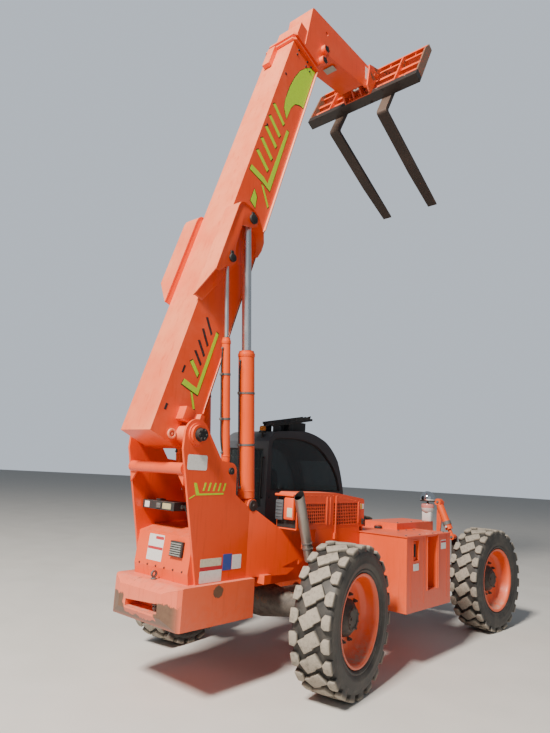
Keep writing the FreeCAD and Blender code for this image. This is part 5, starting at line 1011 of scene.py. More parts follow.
chrome = chrome_material()
dress(chrome, *[name for name in nodes if name.endswith("_rod")])
cylinder_paint = painted_steel("cylinder_paint", (0.84, 0.08, 0.004, 1), (0.9, 0.105, 0.008, 1),
    wear=0.25, roughness=0.38, coat=0.1)
dress(cylinder_paint, "lift_left_barrel", "lift_right_barrel", "slave_left_barrel", "slave_right_barrel",
    "tilt_barrel", "levelling_cylinder")
cylinder_rows = [
    # name, foot on the tower, eye on the boom, across, radius of barrel and rod, length
    ("lift", lift_foot, lift_eye, 0.314, 0.08, 0.047, 1.47),
    ("slave", slave_foot, slave_eye, 0.328, 0.04, 0.021, 1.23),
]
cylinder_sides = [(row, side) for row in cylinder_rows for side in (1, -1)]
for (kind, low_end, high_end, across, barrel, rod, length), side in cylinder_sides:
    name = kind + ("_left" if side > 0 else "_right")
    across *= side
    foot = at(low_end[0], across, low_end[1])
    eye = on_boom(high_end[0], across, high_end[1])
    along = (eye - foot).normalized()
    body = name + "_barrel_body"
    tube_frame = facing(foot, along, (0, 1, 0))
    gland = turned([(rod + 0.0015, 0), (barrel + 0.003, 0), (barrel + 0.0045, 0.003),
        (barrel + 0.0045, 0.03), (barrel + 0.002, 0.033), (barrel * 0.94, 0.036), (barrel * 0.94, 0.052),
        (rod + 0.01, 0.055), (rod + 0.008, 0.06), (rod + 0.0015, 0.06)], 48)
    finished(name + "_gland", placed(gland, tube_frame @ shift((0, 0, length - 0.04))), cylinder_paint,
        body)
    wiper = turned([(rod + 0.001, 0), (rod + 0.009, 0), (rod + 0.007, 0.006), (rod + 0.001, 0.004)], 48)
    finished(name + "_wiper_seal", placed(wiper, tube_frame @ shift((0, 0, length + 0.0195))),
        rubber_black, body)
    outward = Vector((-1, 0, 0)) - along * Vector((-1, 0, 0)).dot(along)
    outward.normalize()
    seam = turned([(barrel - 0.001, 0), (barrel + 0.003, 0.003), (barrel + 0.003, 0.009),
        (barrel - 0.001, 0.012)], 48)
    finished(name + "_foot_weld", placed(seam, tube_frame @ shift((0, 0, 0.13))), cylinder_paint, body)
    fittings = bmesh.new()
    run = [0.17, 0.24, 0.45, length * 0.62, length - 0.16, length - 0.085]
    off = [barrel] + [barrel + 0.022] * 4 + [barrel]
    steel_tube = [foot + along * s + outward * o for s, o in zip(run, off)]
    for reach in (run[-1], run[0]):
        add_part(fittings, union(foot + along * reach + outward * (barrel - 0.002), outward, 0.014, 0.02))
    for share in (0.38, 0.72):
        band = turned([(barrel + 0.0005, 0), (barrel + 0.0035, 0.001), (barrel + 0.0035, 0.021),
            (barrel + 0.0005, 0.022)], 40)
        add_part(fittings, band, tube_frame @ shift((0, 0, length * share)))
        saddle = eased_box((-0.014, -0.012, -0.002), (0.014, 0.012, 0.033), 0.003)
        add_part(fittings, saddle,
            facing(foot + along * (length * share + 0.011) + outward * (barrel + 0.001), outward))
    finished(name + "_fittings", fittings, plated_pin, body)
    bent_tube(name + "_port_tube", steel_tube, 0.0075, rubber_black, body)


# Gooseneck head: the fly section's welded end, with pivot caps on its sides, blank cards,
# and a bright wear strip below; the tilt cylinder works inside it.
head_corner = at(0.267, 0, 7.797)
head_half = 0.19


def on_head(ahead_of, across, down):
    """A place given from the head's upper rear corner."""
    return head_corner + Vector((ahead_of, across, -down))


head_bits = bmesh.new()
for side in (1, -1):
    for along, down in ((0.268, 0.447), (0.236, 0.631)):
        add_part(head_bits,
            turned([(0, 0), (0.06, 0), (0.062, 0.003), (0.06, 0.01), (0.04, 0.014), (0, 0.014)], 40),
            facing(on_head(along, side * (head_half + 0.0415), down), (0, side, 0)))
        bolt_ring(head_bits, 5, 0.043, 0.014, 0.007, on_head(along, side * (head_half + 0.0525), down),
            side)
finished("head_pivot_caps", head_bits, black_steel, "fly_section")
for side, mark in ((1, "left"), (-1, "right")):
    flat_mark("head_card_" + mark, panel(0.07, 0.2),
        facing(on_head(1.3, side * (head_half + 0.0002), 0.13), (0, side, 0)), white_film, "fly_section")
    flat_mark("head_card_low_" + mark, panel(0.05, 0.1),
        facing(on_head(1.36, side * (head_half + 0.0002), 0.27), (0, side, 0)), white_film, "fly_section")
flat_mark("head_plate_under", panel(0.1, 0.16), facing(on_head(0.6, -0.05, 0.4515), (-0.087, 0, -1),
    (0, 1, 0)), film("dull_card", (0.35, 0.33, 0.28, 1), worn=0.5), "fly_section", 0.0008)


# Fork carriage: a welded frame hung on two plates, worn to rusty steel at its ends and on
# the bar that carries the forks, and two forged forks, dark with brown rust.
carriage_pivot = at(1.7509, 0, 7.7421)
carriage_lean = math.radians(-26)
carriage_ahead = Vector((math.cos(carriage_lean), 0, math.sin(carriage_lean)))
carriage_up_dir = Vector((-math.sin(carriage_lean), 0, math.cos(carriage_lean)))


def on_carriage(forward, across, up):
    """A place given from the carriage's pivot, square to its face."""
    return (carriage_pivot + forward * carriage_ahead + Vector((0, across, 0)) + up * carriage_up_dir)


def carriage_paint():
    """The carriage's paint, worn through at its ends, with its lower bar left black."""
    material = painted_steel("carriage_paint", (0.78, 0.065, 0.008, 1), chalky_and_lit, wear=0.8, rusted=0.42,
        rust_scale=4.5, roughness=0.45)
    tree, shader, place, before = opened(material)
    from_pivot = vector_worked(tree, "SUBTRACT", place, tuple(carriage_pivot))
    height = vector_worked(tree, "DOT_PRODUCT", from_pivot, tuple(carriage_up_dir))
    torn = speckle(tree, place, 16, 8, 0.7)
    low = eased(tree, height, -0.262, -0.266)
    outer = eased(tree, unsigned(tree, axes(tree, place)["Y"]), 0.9, 0.906)
    ends = worked(tree, "MULTIPLY", outer, eased(tree, torn, 0.36, 0.44))
    brown = mixed(tree, torn, (0.11, 0.055, 0.035, 1), (0.3, 0.15, 0.085, 1))
    iron = mixed(tree, torn, (0.01, 0.008, 0.007, 1), (0.035, 0.022, 0.017, 1))
    apply_inputs(tree, shader, {"Base Color": mixed(tree, low, mixed(tree, ends, before, brown), iron)})
    return material


dress(carriage_paint(), "fork_carriage")
dress(painted_steel("hanger_paint", (0.6, 0.055, 0.01, 1), chalky_and_lit, wear=0.7, rusted=0.45, rust_scale=6,
    roughness=0.5), "carriage_hanger")
fork_steel = painted_steel("fork_steel", (0.034, 0.021, 0.016, 1), (0.11, 0.072, 0.052, 1),
    chip=(0.2, 0.12, 0.08, 1), wear=0.7, rusted=0.25, rust_scale=9, roughness=0.55, coat=0.0, edge=0.008)
dress(fork_steel, "forks")
carriage_bolts = bmesh.new()
for across in (-0.75, -0.3, 0.3, 0.75):
    add_part(carriage_bolts, hex_head(0.026, 0.014),
        facing(on_carriage(0.065, across, -0.317), -carriage_ahead, (0, 1, 0)))
finished("carriage_bolts", carriage_bolts, plated_pin, "carriage")


# Engine hood: folded sheet steel, hinged at its front end, with punched grilles, a rib
# beside each of them, rivets along its top edge and two rubber latches.
dress(orange_paint, "hood_grilles")
hood_right = -0.675
hood_ribs = bmesh.new()
for along, low, high in ((0.285, 1.425, 1.7), (0.345, 1.425, 1.7), (0.88, 1.42, 1.65)):
    add_part(hood_ribs, eased_box(at(along - 0.008, hood_right - 0.008, low),
        at(along + 0.008, hood_right + 0.001, high), 0.003))
for rear, front, low in ((0.405, 0.861, 1.407), (0.405, 0.861, 1.641), (-0.065, 0.263, 1.432),
        (-0.065, 0.263, 1.634)):
    add_part(hood_ribs,
        eased_box(at(rear, hood_right - 0.003, low), at(front, hood_right + 0.001, low + 0.006), 0.0012,
        1))
finished("hood_ribs", hood_ribs, orange_paint, "hood")
rivets = bmesh.new()
rivet_head = [(0, 0), (0.007, 0), (0.0068, 0.002), (0.004, 0.004), (0, 0.0045)]
rivet_places = [(-0.13 + 0.075 * index, 1.712) for index in range(9)]
rivet_places += [(0.52 + 0.075 * index, 1.7 - (0.05 + 0.075 * index) * 0.108) for index in range(6)]
for along, high in rivet_places:
    add_part(rivets, turned(rivet_head, 12), facing(at(along, hood_right - 0.0001, high), right_face))
finished("hood_rivets", rivets, orange_paint, "hood")
latches = bmesh.new()
for along in (-0.165, 0.955):
    add_part(latches, eased_box(at(along - 0.013, hood_right - 0.02, 1.405),
        at(along + 0.013, hood_right, 1.47), 0.005))
    add_part(latches, turned([(0, 0), (0.01, 0), (0.01, 0.01), (0.006, 0.014), (0, 0.014)], 16),
        facing(at(along, hood_right - 0.019, 1.455), right_face))
finished("hood_latches", latches, rubber_black, "hood")
flat_mark("hood_card", panel(0.075, 0.055), facing(at(0.955, hood_right - 0.0002, 1.6), right_face),
    white_film, "hood")
flat_mark("hood_card_band", panel(0.035, 0.053), facing(at(0.936, hood_right - 0.0014, 1.6), right_face),
    film("yellow_film", (0.7, 0.42, 0.02, 1)), "hood", 0.0006)
# A near-black sheet just behind each grille: painted shade of the engine bay seen through the holes.
shade_sheets = bmesh.new()
for rear, front, low, high in ((-0.066, 0.264, 1.435, 1.637), (0.404, 0.862, 1.41, 1.644)):
    add_part(shade_sheets, eased_box(at(rear, hood_right + 0.005, low), at(front, hood_right + 0.0066, high),
        0.0006, 1))
finished("grille_backing", shade_sheets, film("dark_gauze", (0.012, 0.003, 0.002, 1), 0.8, 0.0), "hood")
# A thin black sheet across the hood's rear end: painted shade in its recess, behind the bracket and relay
# box.
finished("hood_end_recess", eased_box(at(-0.208, -0.668, 1.4), at(-0.2045, -0.432, 1.7), 0.001, 1),
    rubber_black, "hood")
hood_end = eased_box(at(-0.262, -0.67, 1.698), at(-0.2, -0.43, 1.722), 0.008)
add_part(hood_end, eased_box(at(-0.255, -0.668, 1.478), at(-0.205, -0.545, 1.69), 0.015))
finished("hood_end_bracket", hood_end, orange_paint, "hood")
finished("hood_end_card", eased_box(at(-0.2575, -0.655, 1.505), at(-0.2535, -0.592, 1.592), 0.0015),
    cream_film, "hood")
relay_box = eased_box(at(-0.252, -0.532, 1.47), at(-0.206, -0.438, 1.662), 0.01)
for index in range(5):
    high = 1.5 + 0.032 * index
    add_part(relay_box, eased_box(at(-0.256, -0.522, high), at(-0.25, -0.448, high + 0.012), 0.003))
finished("hood_end_relay_box", relay_box, painted_steel("relay_grey", (0.06, 0.068, 0.078, 1),
    (0.1, 0.11, 0.12, 1), wear=0.2), "hood")
engine_iron = painted_steel("engine_iron", (0.03, 0.031, 0.033, 1), (0.07, 0.066, 0.06, 1),
    chip=(0.12, 0.1, 0.08, 1), wear=0.3, rusted=0.15, rust_scale=9, dust_height=2.0, roughness=0.6,
    coat=0.0)
dress(engine_iron, "engine_block")
covers = bmesh.new()
for index in range(4):
    add_part(covers,
        eased_box(at(0.17 + 0.175 * index, -0.62, 1.628), at(0.325 + 0.175 * index, -0.48, 1.668), 0.012))
for index in range(9):
    add_part(covers,
        eased_box(at(0.15 + 0.08 * index, -0.667, 1.26), at(0.19 + 0.08 * index, -0.6595, 1.6), 0.003))
finished("engine_covers", covers, engine_iron, "chassis")


# Exhaust: a bare steel pipe clamped to the tray, dull with heat and dust, its slanted open
# end black with soot, and its bore painted black: soot, and painted shade.
pipe_lean = math.radians(19)
pipe_up = Vector((-math.sin(pipe_lean), 0, math.cos(pipe_lean)))
pipe_foot = at(-0.045, -0.731, 1.11)


def exhaust_steel():
    """Bare pipe with long dull streaks, a brown heat band and soot at the open end."""
    material, tree, shader, place = blank_material("exhaust_steel")
    cloud = speckle(tree, place, 9, 7, 0.65, (1, 1, 0.4))
    colour = mixed(tree, cloud, (0.2, 0.185, 0.165, 1), (0.44, 0.4, 0.36, 1))
    stain = worked(tree, "MULTIPLY", eased(tree, cloud, 0.42, 0.7), 0.55)
    colour = mixed(tree, stain, colour, (0.16, 0.085, 0.045, 1))
    warm = worked(tree, "ADD", axes(tree, place)["Z"], -1.0)
    soot = eased(tree, worked(tree, "ADD", warm, worked(tree, "MULTIPLY", cloud, 0.05)), 0.715, 0.745)
    # Inside the bore the pipe is painted near black: soot, and painted shade of the deep bore.
    from_foot = vector_worked(tree, "SUBTRACT", place, tuple(pipe_foot))
    off_axis = vector_worked(tree, "CROSS_PRODUCT", from_foot, tuple(pipe_up))
    bore_soot_and_shade = eased(tree, vector_worked(tree, "LENGTH", off_axis), 0.0475, 0.0465)
    colour = mixed(tree, worked(tree, "MAXIMUM", soot, bore_soot_and_shade), colour, (0.006, 0.005, 0.005, 1))
    fine = speckle(tree, place, 90, 5, 0.6)
    bumpy = bumped(tree, fine, 0.15, 0.001)
    apply_inputs(tree, shader,
        {"Base Color": colour, "Normal": bumpy, "Metallic": eased(tree, soot, 0, 1, 0.75, 0.0),
        "Roughness": eased(tree, worked(tree, "MAXIMUM", soot, stain), 0, 1, 0.36, 0.85)})
    return material


pipe_steel = exhaust_steel()
dress(pipe_steel, "exhaust_pipe")
clamps = bmesh.new()
for reach in (0.115, 0.165):
    band = turned([(0.0503, 0), (0.0535, 0.001), (0.0535, 0.017), (0.0503, 0.018)], 40)
    add_part(clamps, band, facing(pipe_foot + pipe_up * reach, pipe_up, (0, 1, 0)))
    add_part(clamps, hex_head(0.012, 0.01),
        facing(pipe_foot + pipe_up * (reach + 0.009) + Vector((0, -0.053, 0)), right_face))
finished("exhaust_clamps", clamps, plated_pin, "chassis")
soot_ring = turned([(0.0448, 0.0), (0.0505, 0.0), (0.0508, 0.004), (0.0448, 0.004)], 48)
finished("exhaust_foot_ring", placed(soot_ring, facing(pipe_foot + pipe_up * 0.02, pipe_up, (0, 1, 0))),
    pipe_steel, "chassis")


# Tank box: a welded cabinet with a lipped lid and a raised deck, a recessed grab handle, a
# slot with the blue fuel cap and a sight glass, and caps and screws on top.
def fluted(part, count, low, high, bevel):
    """A turned part with a ring of small ribs, each a box between two corners."""
    for turn in around(count):
        add_part(part, eased_box(low, high, bevel, 1), turn)
    return part


tank_right, tank_top = -1.25, 1.337
blue_plastic = film("blue_plastic", (0.012, 0.06, 0.42, 1), 0.35, 0.3)
fuel_cap = turned([(0, 0), (0.0375, 0), (0.039, 0.004), (0.039, 0.028), (0.037, 0.0325), (0.014, 0.0335),
    (0, 0.0335)], 48)
fluted(fuel_cap, 24, (0.038, -0.0022, 0.003), (0.0412, 0.0022, 0.029), 0.001)
add_part(fuel_cap, eased_box((-0.03, -0.006, 0.03), (0.03, 0.006, 0.041), 0.003))
finished("fuel_cap", placed(fuel_cap, facing(at(1.49, -1.157, 1.251), right_face)), blue_plastic)
sight = turned([(0, 0), (0.03, 0), (0.03, 0.008), (0.026, 0.011), (0, 0.011)], 40)
finished("sight_glass", placed(sight, facing(at(1.49, -1.1305, 1.15), right_face)),
    lens_material("sight_lens", (0.72, 0.66, 0.48, 1), 0.5, 0.3))
deck_cap = turned([(0, 0), (0.044, 0), (0.044, 0.026), (0.04, 0.0345), (0.03, 0.0365), (0, 0.0365)], 40)
fluted(deck_cap, 12, (0.0425, -0.004, 0.004), (0.047, 0.004, 0.024), 0.0015)
finished("oil_cap", placed(deck_cap, shift(at(1.44, -0.6, tank_top))), rubber_black)
lid_screws = bolted([at(along, across, tank_top) for along,
    across in ((0.99, -1.2), (1.3, -1.2), (1.62, -1.2), (1.9, -1.2), (1.45, -0.86), (1.6, -0.88),
    (1.75, -0.9), (1.2, -0.45))] + [at(along, -0.765, 1.41) for along in (1.6, 1.95, 2.25)], (0, 0, 1),
    0.018, 0.009)
finished("lid_screws", lid_screws, plated_pin, "chassis")
seams = bmesh.new()
for along in (1.01, 1.3, 1.88):
    add_part(seams, eased_box(at(along - 0.003, tank_right - 0.0025, 0.64),
        at(along + 0.003, tank_right + 0.0005, 1.32), 0.001, 1))
frame_sides = [
    # low corner and high corner of each side of the pocket's frame
    ((1.048, 1.073), (1.197, 1.085)), ((1.048, 1.29), (1.197, 1.302)),
    ((1.048, 1.085), (1.06, 1.29)), ((1.185, 1.085), (1.197, 1.29)),
]
for (left, low), (right, high) in frame_sides:
    add_part(seams, eased_box(at(left, tank_right - 0.0035, low), at(right, tank_right + 0.001, high),
        0.0015, 1))
finished("tank_box_seams", seams, orange_paint, "chassis")
flat_mark("tank_card", panel(0.12, 0.07), facing(at(1.122, tank_right - 0.0002, 1.02), right_face),
    white_film)
flat_mark("tank_card_front", panel(0.13, 0.1), facing(at(1.79, tank_right - 0.0002, 1.215), right_face),
    white_film)
flat_mark("tank_card_front_band", panel(0.125, 0.022),
    facing(at(1.79, tank_right - 0.0014, 1.245), right_face), red_film, lift=0.0006)
handle_sleeve = turned([(0.0112, 0), (0.0135, 0.002), (0.0135, 0.128), (0.0112, 0.13)], 24)
finished("grab_handle_sleeve", placed(handle_sleeve, shift(at(1.122, tank_right + 0.02, 1.122))),
    rubber_black)


# Cab: dark sprayed pillars and plates, tinted panes held by rubber seals, a door with its
# latch, a wiper and a grab rail at the rear pane; the roof carries a slatted guard.
def tinted_glass():
    """Tinted safety glass with a thin film of dust in patches."""
    material, tree, shader, place = blank_material("tinted_glass")
    film_of_dust = speckle(tree, place, 5, 8, 0.7)
    apply_inputs(tree, shader,
        {"Base Color": mixed(tree, eased(tree, film_of_dust, 0.4, 0.85, 0.0, 0.35), (0.2, 0.23, 0.23, 1),
        (0.34, 0.33, 0.3, 1)), "Roughness": eased(tree, film_of_dust, 0.35, 0.8, 0.015, 0.16),
        "Transmission Weight": 0.92, "IOR": 1.45})
    return material


glass = tinted_glass()
dress(glass, "cab_glass", "door_glass")
cab_paint = painted_steel("cab_paint", (0.032, 0.036, 0.043, 1), (0.075, 0.082, 0.094, 1),
    chip=(0.12, 0.115, 0.11, 1), wear=0.2, roughness=0.5, coat=0.05)
dress(cab_paint, "cab_shell", "cab_door")


def pane_seal(name, node, outward, body, level=None):
    """A rubber seal around each pane of a node that looks outward, from the pane's outline."""
    part = bmesh.new()
    part.from_mesh(nodes[node].data)
    bmesh.ops.remove_doubles(part, verts=part.verts, dist=1e-5)
    outward = Vector(outward)
    away = [face for face in part.faces if face.normal.dot(outward) < 0.98
        or (level is not None and abs(face.calc_center_median().dot(outward) - level) > 0.02)]
    bmesh.ops.delete(part, geom=away, context="FACES")
    bmesh.ops.dissolve_limit(part, angle_limit=0.02, verts=part.verts, edges=part.edges)
    inner = part.faces[:]
    ring = bmesh.ops.inset_region(part, faces=inner, thickness=0.016, use_boundary=True,
        use_even_offset=True)["faces"]
    bmesh.ops.delete(part, geom=[face for face in part.faces if face not in ring], context="FACES")
    raised = bmesh.ops.extrude_face_region(part, geom=part.faces[:])
    bmesh.ops.translate(part, vec=outward * 0.007,
        verts=[item for item in raised["geom"] if isinstance(item, bmesh.types.BMVert)])
    face_outward(part)
    return finished(name, part, rubber_black, body)


pane_seal("seal_right", "cab_glass", (0, -1, 0), "chassis", -0.4695)
pane_seal("seal_quarter", "cab_glass", (0, 1, 0), "chassis", 1.1805)
pane_seal("seal_rear", "cab_glass", (-1, 0, 0), "chassis", 0.6525)
pane_seal("seal_door", "door_glass", (0, 1, 0), "door")
guard = bmesh.new()
rail_start, rail_end = at(0.784, 0, 2.5), at(1.6, 0, 2.652)
rail_long = (rail_end - rail_start).length
rail_turn = spin(-math.atan2(0.152, 0.816), "Y")
for across, lift in ((0.566, 0), (0.73, 0.034)):
    beam = eased_box((0, -0.013, -0.016), (rail_long, 0.013, 0.016), 0.005)
    add_part(guard, beam, shift(rail_start + Vector((0, across, lift))) @ rail_turn)
    for rear, front, foot, top in ((0.8, 0.95, 2.395, 2.505), (1.11, 1.19, 2.42, 2.565),
            (1.19, 1.455, 2.42, 2.59)):
        add_part(guard, eased_box(at(rear, across - 0.008, foot), at(front, across + 0.008, top + lift),
            0.004))
for index in range(8):
    slat = eased_box((-0.004, -0.088, -0.026), (0.004, 0.088, 0.026), 0.002)
    middle = rail_start.lerp(rail_end, (index + 0.4) / 7.8) + Vector((0, 0.648, 0.018))
    add_part(guard, slat, shift(middle) @ spin(-0.2, "X") @ spin(0.5, "Y"))
finished("roof_guard_frame", guard, black_steel, "chassis", ["roof_guard"])
cab_right = 0.45
cab_screws = bolted([at(along, cab_right, high) for along,
    high in ((0.66, 1.36), (0.66, 1.62), (1.05, 1.5), (1.55, 1.5), (2.05, 1.5), (2.22, 1.4))], right_face,
    0.016, 0.007)
finished("cab_screws", cab_screws, black_steel, "chassis")
motor = placed(turned([(0, 0), (0.02, 0), (0.02, 0.018), (0.014, 0.024), (0, 0.024)], 24),
    facing(at(0.5995, 0.83, 1.44), (-1, 0, 0)))
finished("rear_wiper_motor", motor, black_steel, "chassis")
arm = bmesh.new()
blade_base, blade_tip = at(0.582, 0.83, 1.44), at(0.606, 0.93, 1.78)
arm_long = (blade_tip - blade_base).length
add_part(arm, turned([(0, 0), (0.006, 0), (0.004, arm_long), (0, arm_long)], 12),
    facing(blade_base, blade_tip - blade_base, (0, 1, 0)))
add_part(arm, eased_box((-0.006, -0.006, -0.2), (0.006, 0.006, 0.2), 0.002),
    shift(at(0.608, 0.93, 1.79)) @ spin(0.1, "X"))
finished("rear_wiper", arm, rubber_black)
rails = bmesh.new()
add_part(rails, turned([(0, 0), (0.011, 0), (0.011, 0.5), (0, 0.5)], 20),
    facing(at(0.576, 0.52, 1.6), (0, 0, 1), (0, 1, 0)))
for high in (1.61, 2.09):
    add_part(rails, turned([(0, 0), (0.009, 0), (0.009, 0.03), (0, 0.03)], 16),
        facing(at(0.576, 0.52, high), (1, 0, 0)))
finished("cab_grab_rail", rails, black_steel, "chassis")
door_latch = eased_box(at(2.03, 1.1995, 1.225), at(2.08, 1.21, 1.262), 0.004)
add_part(door_latch, turned([(0, 0), (0.01, 0), (0.01, 0.008), (0.007, 0.011), (0, 0.011)], 20),
    facing(at(2.055, 1.2095, 1.243), (0, 1, 0)))
finished("door_latch", door_latch, plated_pin, "door")


# Seat: foam under black vinyl with stitched channels and a piped edge, on a sprung steel
# base with a rubber bellows. The cushion is crowned and its sides pull in.
def seat_vinyl():
    """Black vinyl with a pebbled grain, worn to a dull grey where it is sat on."""
    material, tree, shader, place = blank_material("seat_vinyl")
    grain = shader_node(tree, "TexVoronoi", {"Vector": place, "Scale": 420.0})
    wear = speckle(tree, place, 6, 5, 0.6)
    bumpy = bumped(tree, grain.outputs["Distance"], 0.35, 0.0008)
    apply_inputs(tree, shader,
        {"Base Color": mixed(tree, eased(tree, wear, 0.35, 0.75), (0.012, 0.012, 0.013, 1),
        (0.05, 0.048, 0.045, 1)), "Roughness": eased(tree, wear, 0.3, 0.75, 0.42, 0.62), "Normal": bumpy})
    return material


def cushion(size, crown, channels, place):
    """A crowned pad about its middle, with sides that pull in and stitched channels."""
    part = bmesh.new()
    bmesh.ops.create_cube(part, size=2)
    bmesh.ops.subdivide_edges(part, edges=part.edges[:], cuts=13, use_grid_fill=True)
    half = Vector(size) / 2
    for corner in part.verts:
        u, v, w = corner.co
        length_round = 1 - 0.1 * max(abs(v), abs(w)) ** 8
        width_round = 1 - 0.07 * max(abs(u), abs(w)) ** 8
        pull = 1 - 0.035 * (1 - u * u) * abs(v) ** 4 - 0.02 * (1 - w * w)
        high = w * half.z * (1 - 0.16 * max(abs(u), abs(v)) ** 6)
        if w > 0:
            high += w * crown * (1 - u * u) * (1 - v * v)
            for middle in channels:
                high -= 0.01 * w * math.exp(-((v - middle) / 0.05) ** 2) * (1 - u ** 8)
        corner.co = (u * half.x * length_round * pull, v * half.y * width_round * pull, high)
    placed(part, place)
    return part


vinyl = seat_vinyl()
back_lean = math.atan2(0.15, 0.63)
seat_parts = [
    # name, size, crown, channels, place, node that it stands for
    ("seat_cushion", (0.505, 0.47, 0.105), 0.016, (-0.62, -0.2, 0.2, 0.62),
     shift(at(1.262, 0.83, 1.288)) @ spin(-0.03, "Y"), ["seat"]),
    ("seat_back", (0.64, 0.45, 0.1), 0.014, (-0.62, -0.2, 0.2, 0.62),
     shift(at(0.992, 0.83, 1.655))
     @ spin(-math.pi / 2 - back_lean, "Y") @ spin(math.pi), []),
]
for name, size, crown, channels, place, replaced in seat_parts:
    pad = finished(name, cushion(size, crown, channels, place), vinyl, "chassis", replaced,
        crease=180)
    rounding = pad.modifiers.new("rounding", "SUBSURF")
    rounding.levels = rounding.render_levels = 1
bellows = bmesh.new()
profile = [(0.0, 0.985)]
for index in range(9):
    profile.append((0.155 if index % 2 else 0.13, 0.992 + 0.026 * index))
profile.append((0.0, 1.228))
add_part(bellows, turned(profile, 4), spin(math.pi / 4))
soften(bellows, 0.008, 2)
bmesh.ops.translate(bellows, vec=at(1.225, 0.83, 0), verts=bellows.verts)
finished("seat_bellows", bellows, rubber_black)


# Console and steering wheel: a moulded column with a round wheel on a slanted stem, and
# two levers with knobs on a moulded box beside the seat.
console = plate([(1.93, 0.985), (2.12, 0.985), (2.06, 1.48), (1.93, 1.46)], 0.26, 0.008)
placed(console, shift(at(0, 0.96, 0)) @ spin(math.pi / 2, "X"))
moulded = film("moulded_plastic", (0.028, 0.029, 0.031, 1), 0.5, 0.4)
finished("console_column", console, moulded, "chassis", ["console"])
wheel = bmesh.new()
rim_points = [(0.175 + 0.014 * math.cos(math.tau * index / 12), 0.014 * math.sin(math.tau * index / 12))
    for index in range(12)]
add_part(wheel, turned(rim_points, 64))
add_part(wheel, turned([(0, -0.014), (0.04, -0.014), (0.044, -0.004), (0.03, 0.01), (0, 0.012)], 32))
for turn in around(3):
    add_part(wheel, eased_box((0.03, -0.012, -0.008), (0.166, 0.012, 0.002), 0.003), turn)
bmesh.ops.translate(wheel, vec=at(1.85, 0.83, 1.526), verts=wheel.verts)
finished("steering_wheel", wheel, rubber_black)
stem_start, stem_end = at(1.925, 0.83, 1.4), at(1.852, 0.83, 1.512)
stem = turned([(0, 0), (0.02, 0), (0.02, 0.134), (0, 0.134)], 24)
finished("steering_stem", placed(stem, facing(stem_start, stem_end - stem_start, (0, 1, 0))), moulded)
levers = bmesh.new()
for across in (0.6, 0.64):
    add_part(levers,
        turned([(0, 0), (0.007, 0), (0.006, 0.16), (0.017, 0.165), (0.019, 0.195), (0.012, 0.21),
        (0, 0.212)], 20), facing(at(1.56, across, 1.3), (0.15, 0, 1), (0, 1, 0)))
finished("control_levers", levers, rubber_black)
arm_box = eased_box(at(1.3, 0.56, 1.23), at(1.64, 0.68, 1.302), 0.012)
finished("lever_box", arm_box, moulded)


# Beacon and lamps: turned housings, a fluted amber cup on the cab, a round rose lens on the
# front post, and a polished dome mirror over it with a rubber rim.
beacon_place = shift(at(0.64, 0.6, 0))
base = turned([(0, 2.33), (0.014, 2.33), (0.014, 2.395), (0.043, 2.396), (0.045, 2.4), (0.045, 2.414),
    (0.041, 2.419), (0, 2.42)], 40)
finished("beacon_base", placed(base, beacon_place), rubber_black)
cup = turned([(0, 2.4205), (0.0385, 2.4205), (0.0395, 2.426), (0.0375, 2.465), (0.032, 2.478),
    (0.02, 2.4815), (0, 2.4818)], 48)
fluted(cup, 24, (0.0365, -0.0016, 2.424), (0.04, 0.0016, 2.462), 0.0008)
finished("beacon_cup", placed(cup, beacon_place), amber_lens, "chassis", ["beacon"])
lamp_place = shift(at(2.39, -0.766, 0))
post = eased_box(at(2.35, -0.826, 1.4095), at(2.43, -0.706, 1.527), 0.006)
case = turned([(0.0, 1.524), (0.058, 1.525), (0.064, 1.532), (0.0785, 1.566), (0.0785, 1.574),
    (0.0, 1.574)], 56)
add_part(post, case, lamp_place)
pale_grey = painted_steel("pale_grey", (0.5, 0.5, 0.49, 1), (0.6, 0.59, 0.56, 1), wear=0.3, roughness=0.4)
finished("front_lamp_case", post, pale_grey, "chassis", ["front_lamp"])
rose = turned([(0.0, 1.5742), (0.0775, 1.5745), (0.0798, 1.58), (0.0798, 1.61), (0.074, 1.624),
    (0.05, 1.6295), (0.0, 1.6298)], 56)
fluted(rose, 20, (0.0775, -0.003, 1.584), (0.08, 0.003, 1.606), 0.001)
finished("front_lamp_lens", placed(rose, lamp_place),
    lens_material("rose_lens", (0.85, 0.3, 0.26, 1), 0.5, 0.35), "chassis")


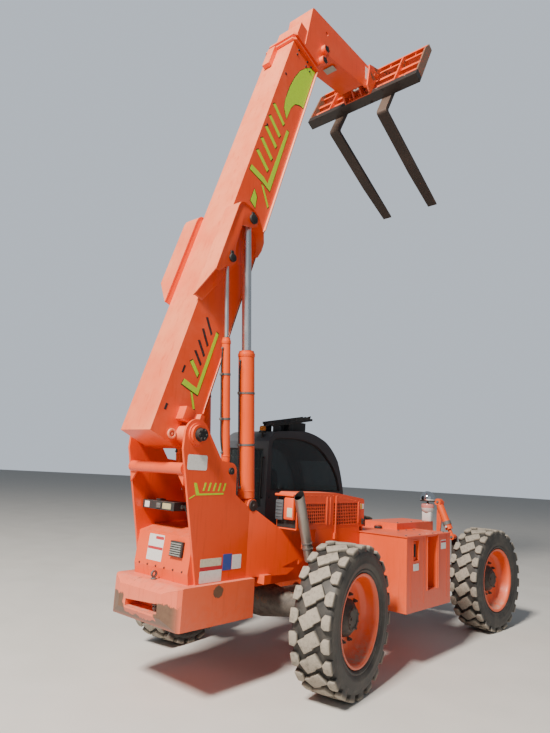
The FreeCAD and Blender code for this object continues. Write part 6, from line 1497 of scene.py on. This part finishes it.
def mirror_material():
    """Polished dome with a little haze and dust in patches."""
    material, tree, shader, place = blank_material("polished_dome")
    cloud = speckle(tree, place, 22, 6, 0.65)
    apply_inputs(tree, shader,
        {"Base Color": mixed(tree, eased(tree, cloud, 0.45, 0.9), (0.86, 0.88, 0.9, 1),
        (0.45, 0.44, 0.42, 1)), "Metallic": 1.0, "Roughness": eased(tree, cloud, 0.3, 0.8, 0.03, 0.22)})
    return material


dome_radius, dome_centre, dome_cut = 0.095, 1.69, 1.662
rim_angle = math.asin((dome_cut - dome_centre) / dome_radius)
dome_profile = [(0.0, dome_cut)]
for index in range(13):
    angle = rim_angle + (math.pi / 2 - rim_angle) * index / 12
    dome_profile.append((dome_radius * math.cos(angle), dome_centre + dome_radius * math.sin(angle)))
dome_profile[-1] = (0.0, dome_centre + dome_radius)
dome = turned(dome_profile, 64)
finished("mirror_face", placed(dome, lamp_place), mirror_material(), "chassis", ["mirror"])
rubber_rim = turned([(0.084, 1.657), (0.0925, 1.657), (0.0948, 1.661), (0.0948, 1.67), (0.093, 1.673),
    (0.084, 1.668)], 56)
add_part(rubber_rim, turned([(0, 1.629), (0.016, 1.629), (0.014, 1.634), (0.014, 1.662), (0, 1.662)], 24))
finished("mirror_rim", placed(rubber_rim, lamp_place), rubber_black)


# Frame levelling cylinder: a short barrel between the front axle and the frame, with a
# bright strap, a white breather and the pins' washers.
sway_foot, sway_head = at(3.46, -0.63, 1.144), at(3.46, -0.42, 1.617)
sway_along = (sway_head - sway_foot).normalized()
strap = turned([(0.0573, 0), (0.0595, 0.002), (0.0595, 0.052), (0.0573, 0.054)], 40)
finished("sway_strap", placed(strap, facing(sway_foot + sway_along * 0.175, sway_along)), plated_pin,
    "chassis")
breather = turned([(0, 0), (0.011, 0), (0.012, 0.01), (0.016, 0.016), (0.016, 0.026), (0.01, 0.034),
    (0, 0.036)], 28)
finished("sway_breather",
    placed(breather, facing(sway_foot + sway_along * 0.15 + Vector((-0.052, 0, 0)), (-1, 0, 0))),
    white_film)
sway_washers = bmesh.new()
for place in (sway_foot, sway_head):
    add_part(sway_washers, hex_head(0.03, 0.014), facing(place + Vector((-0.0348, 0, 0)), (-1, 0, 0)))
finished("sway_pin_heads", sway_washers, plated_pin, "chassis")
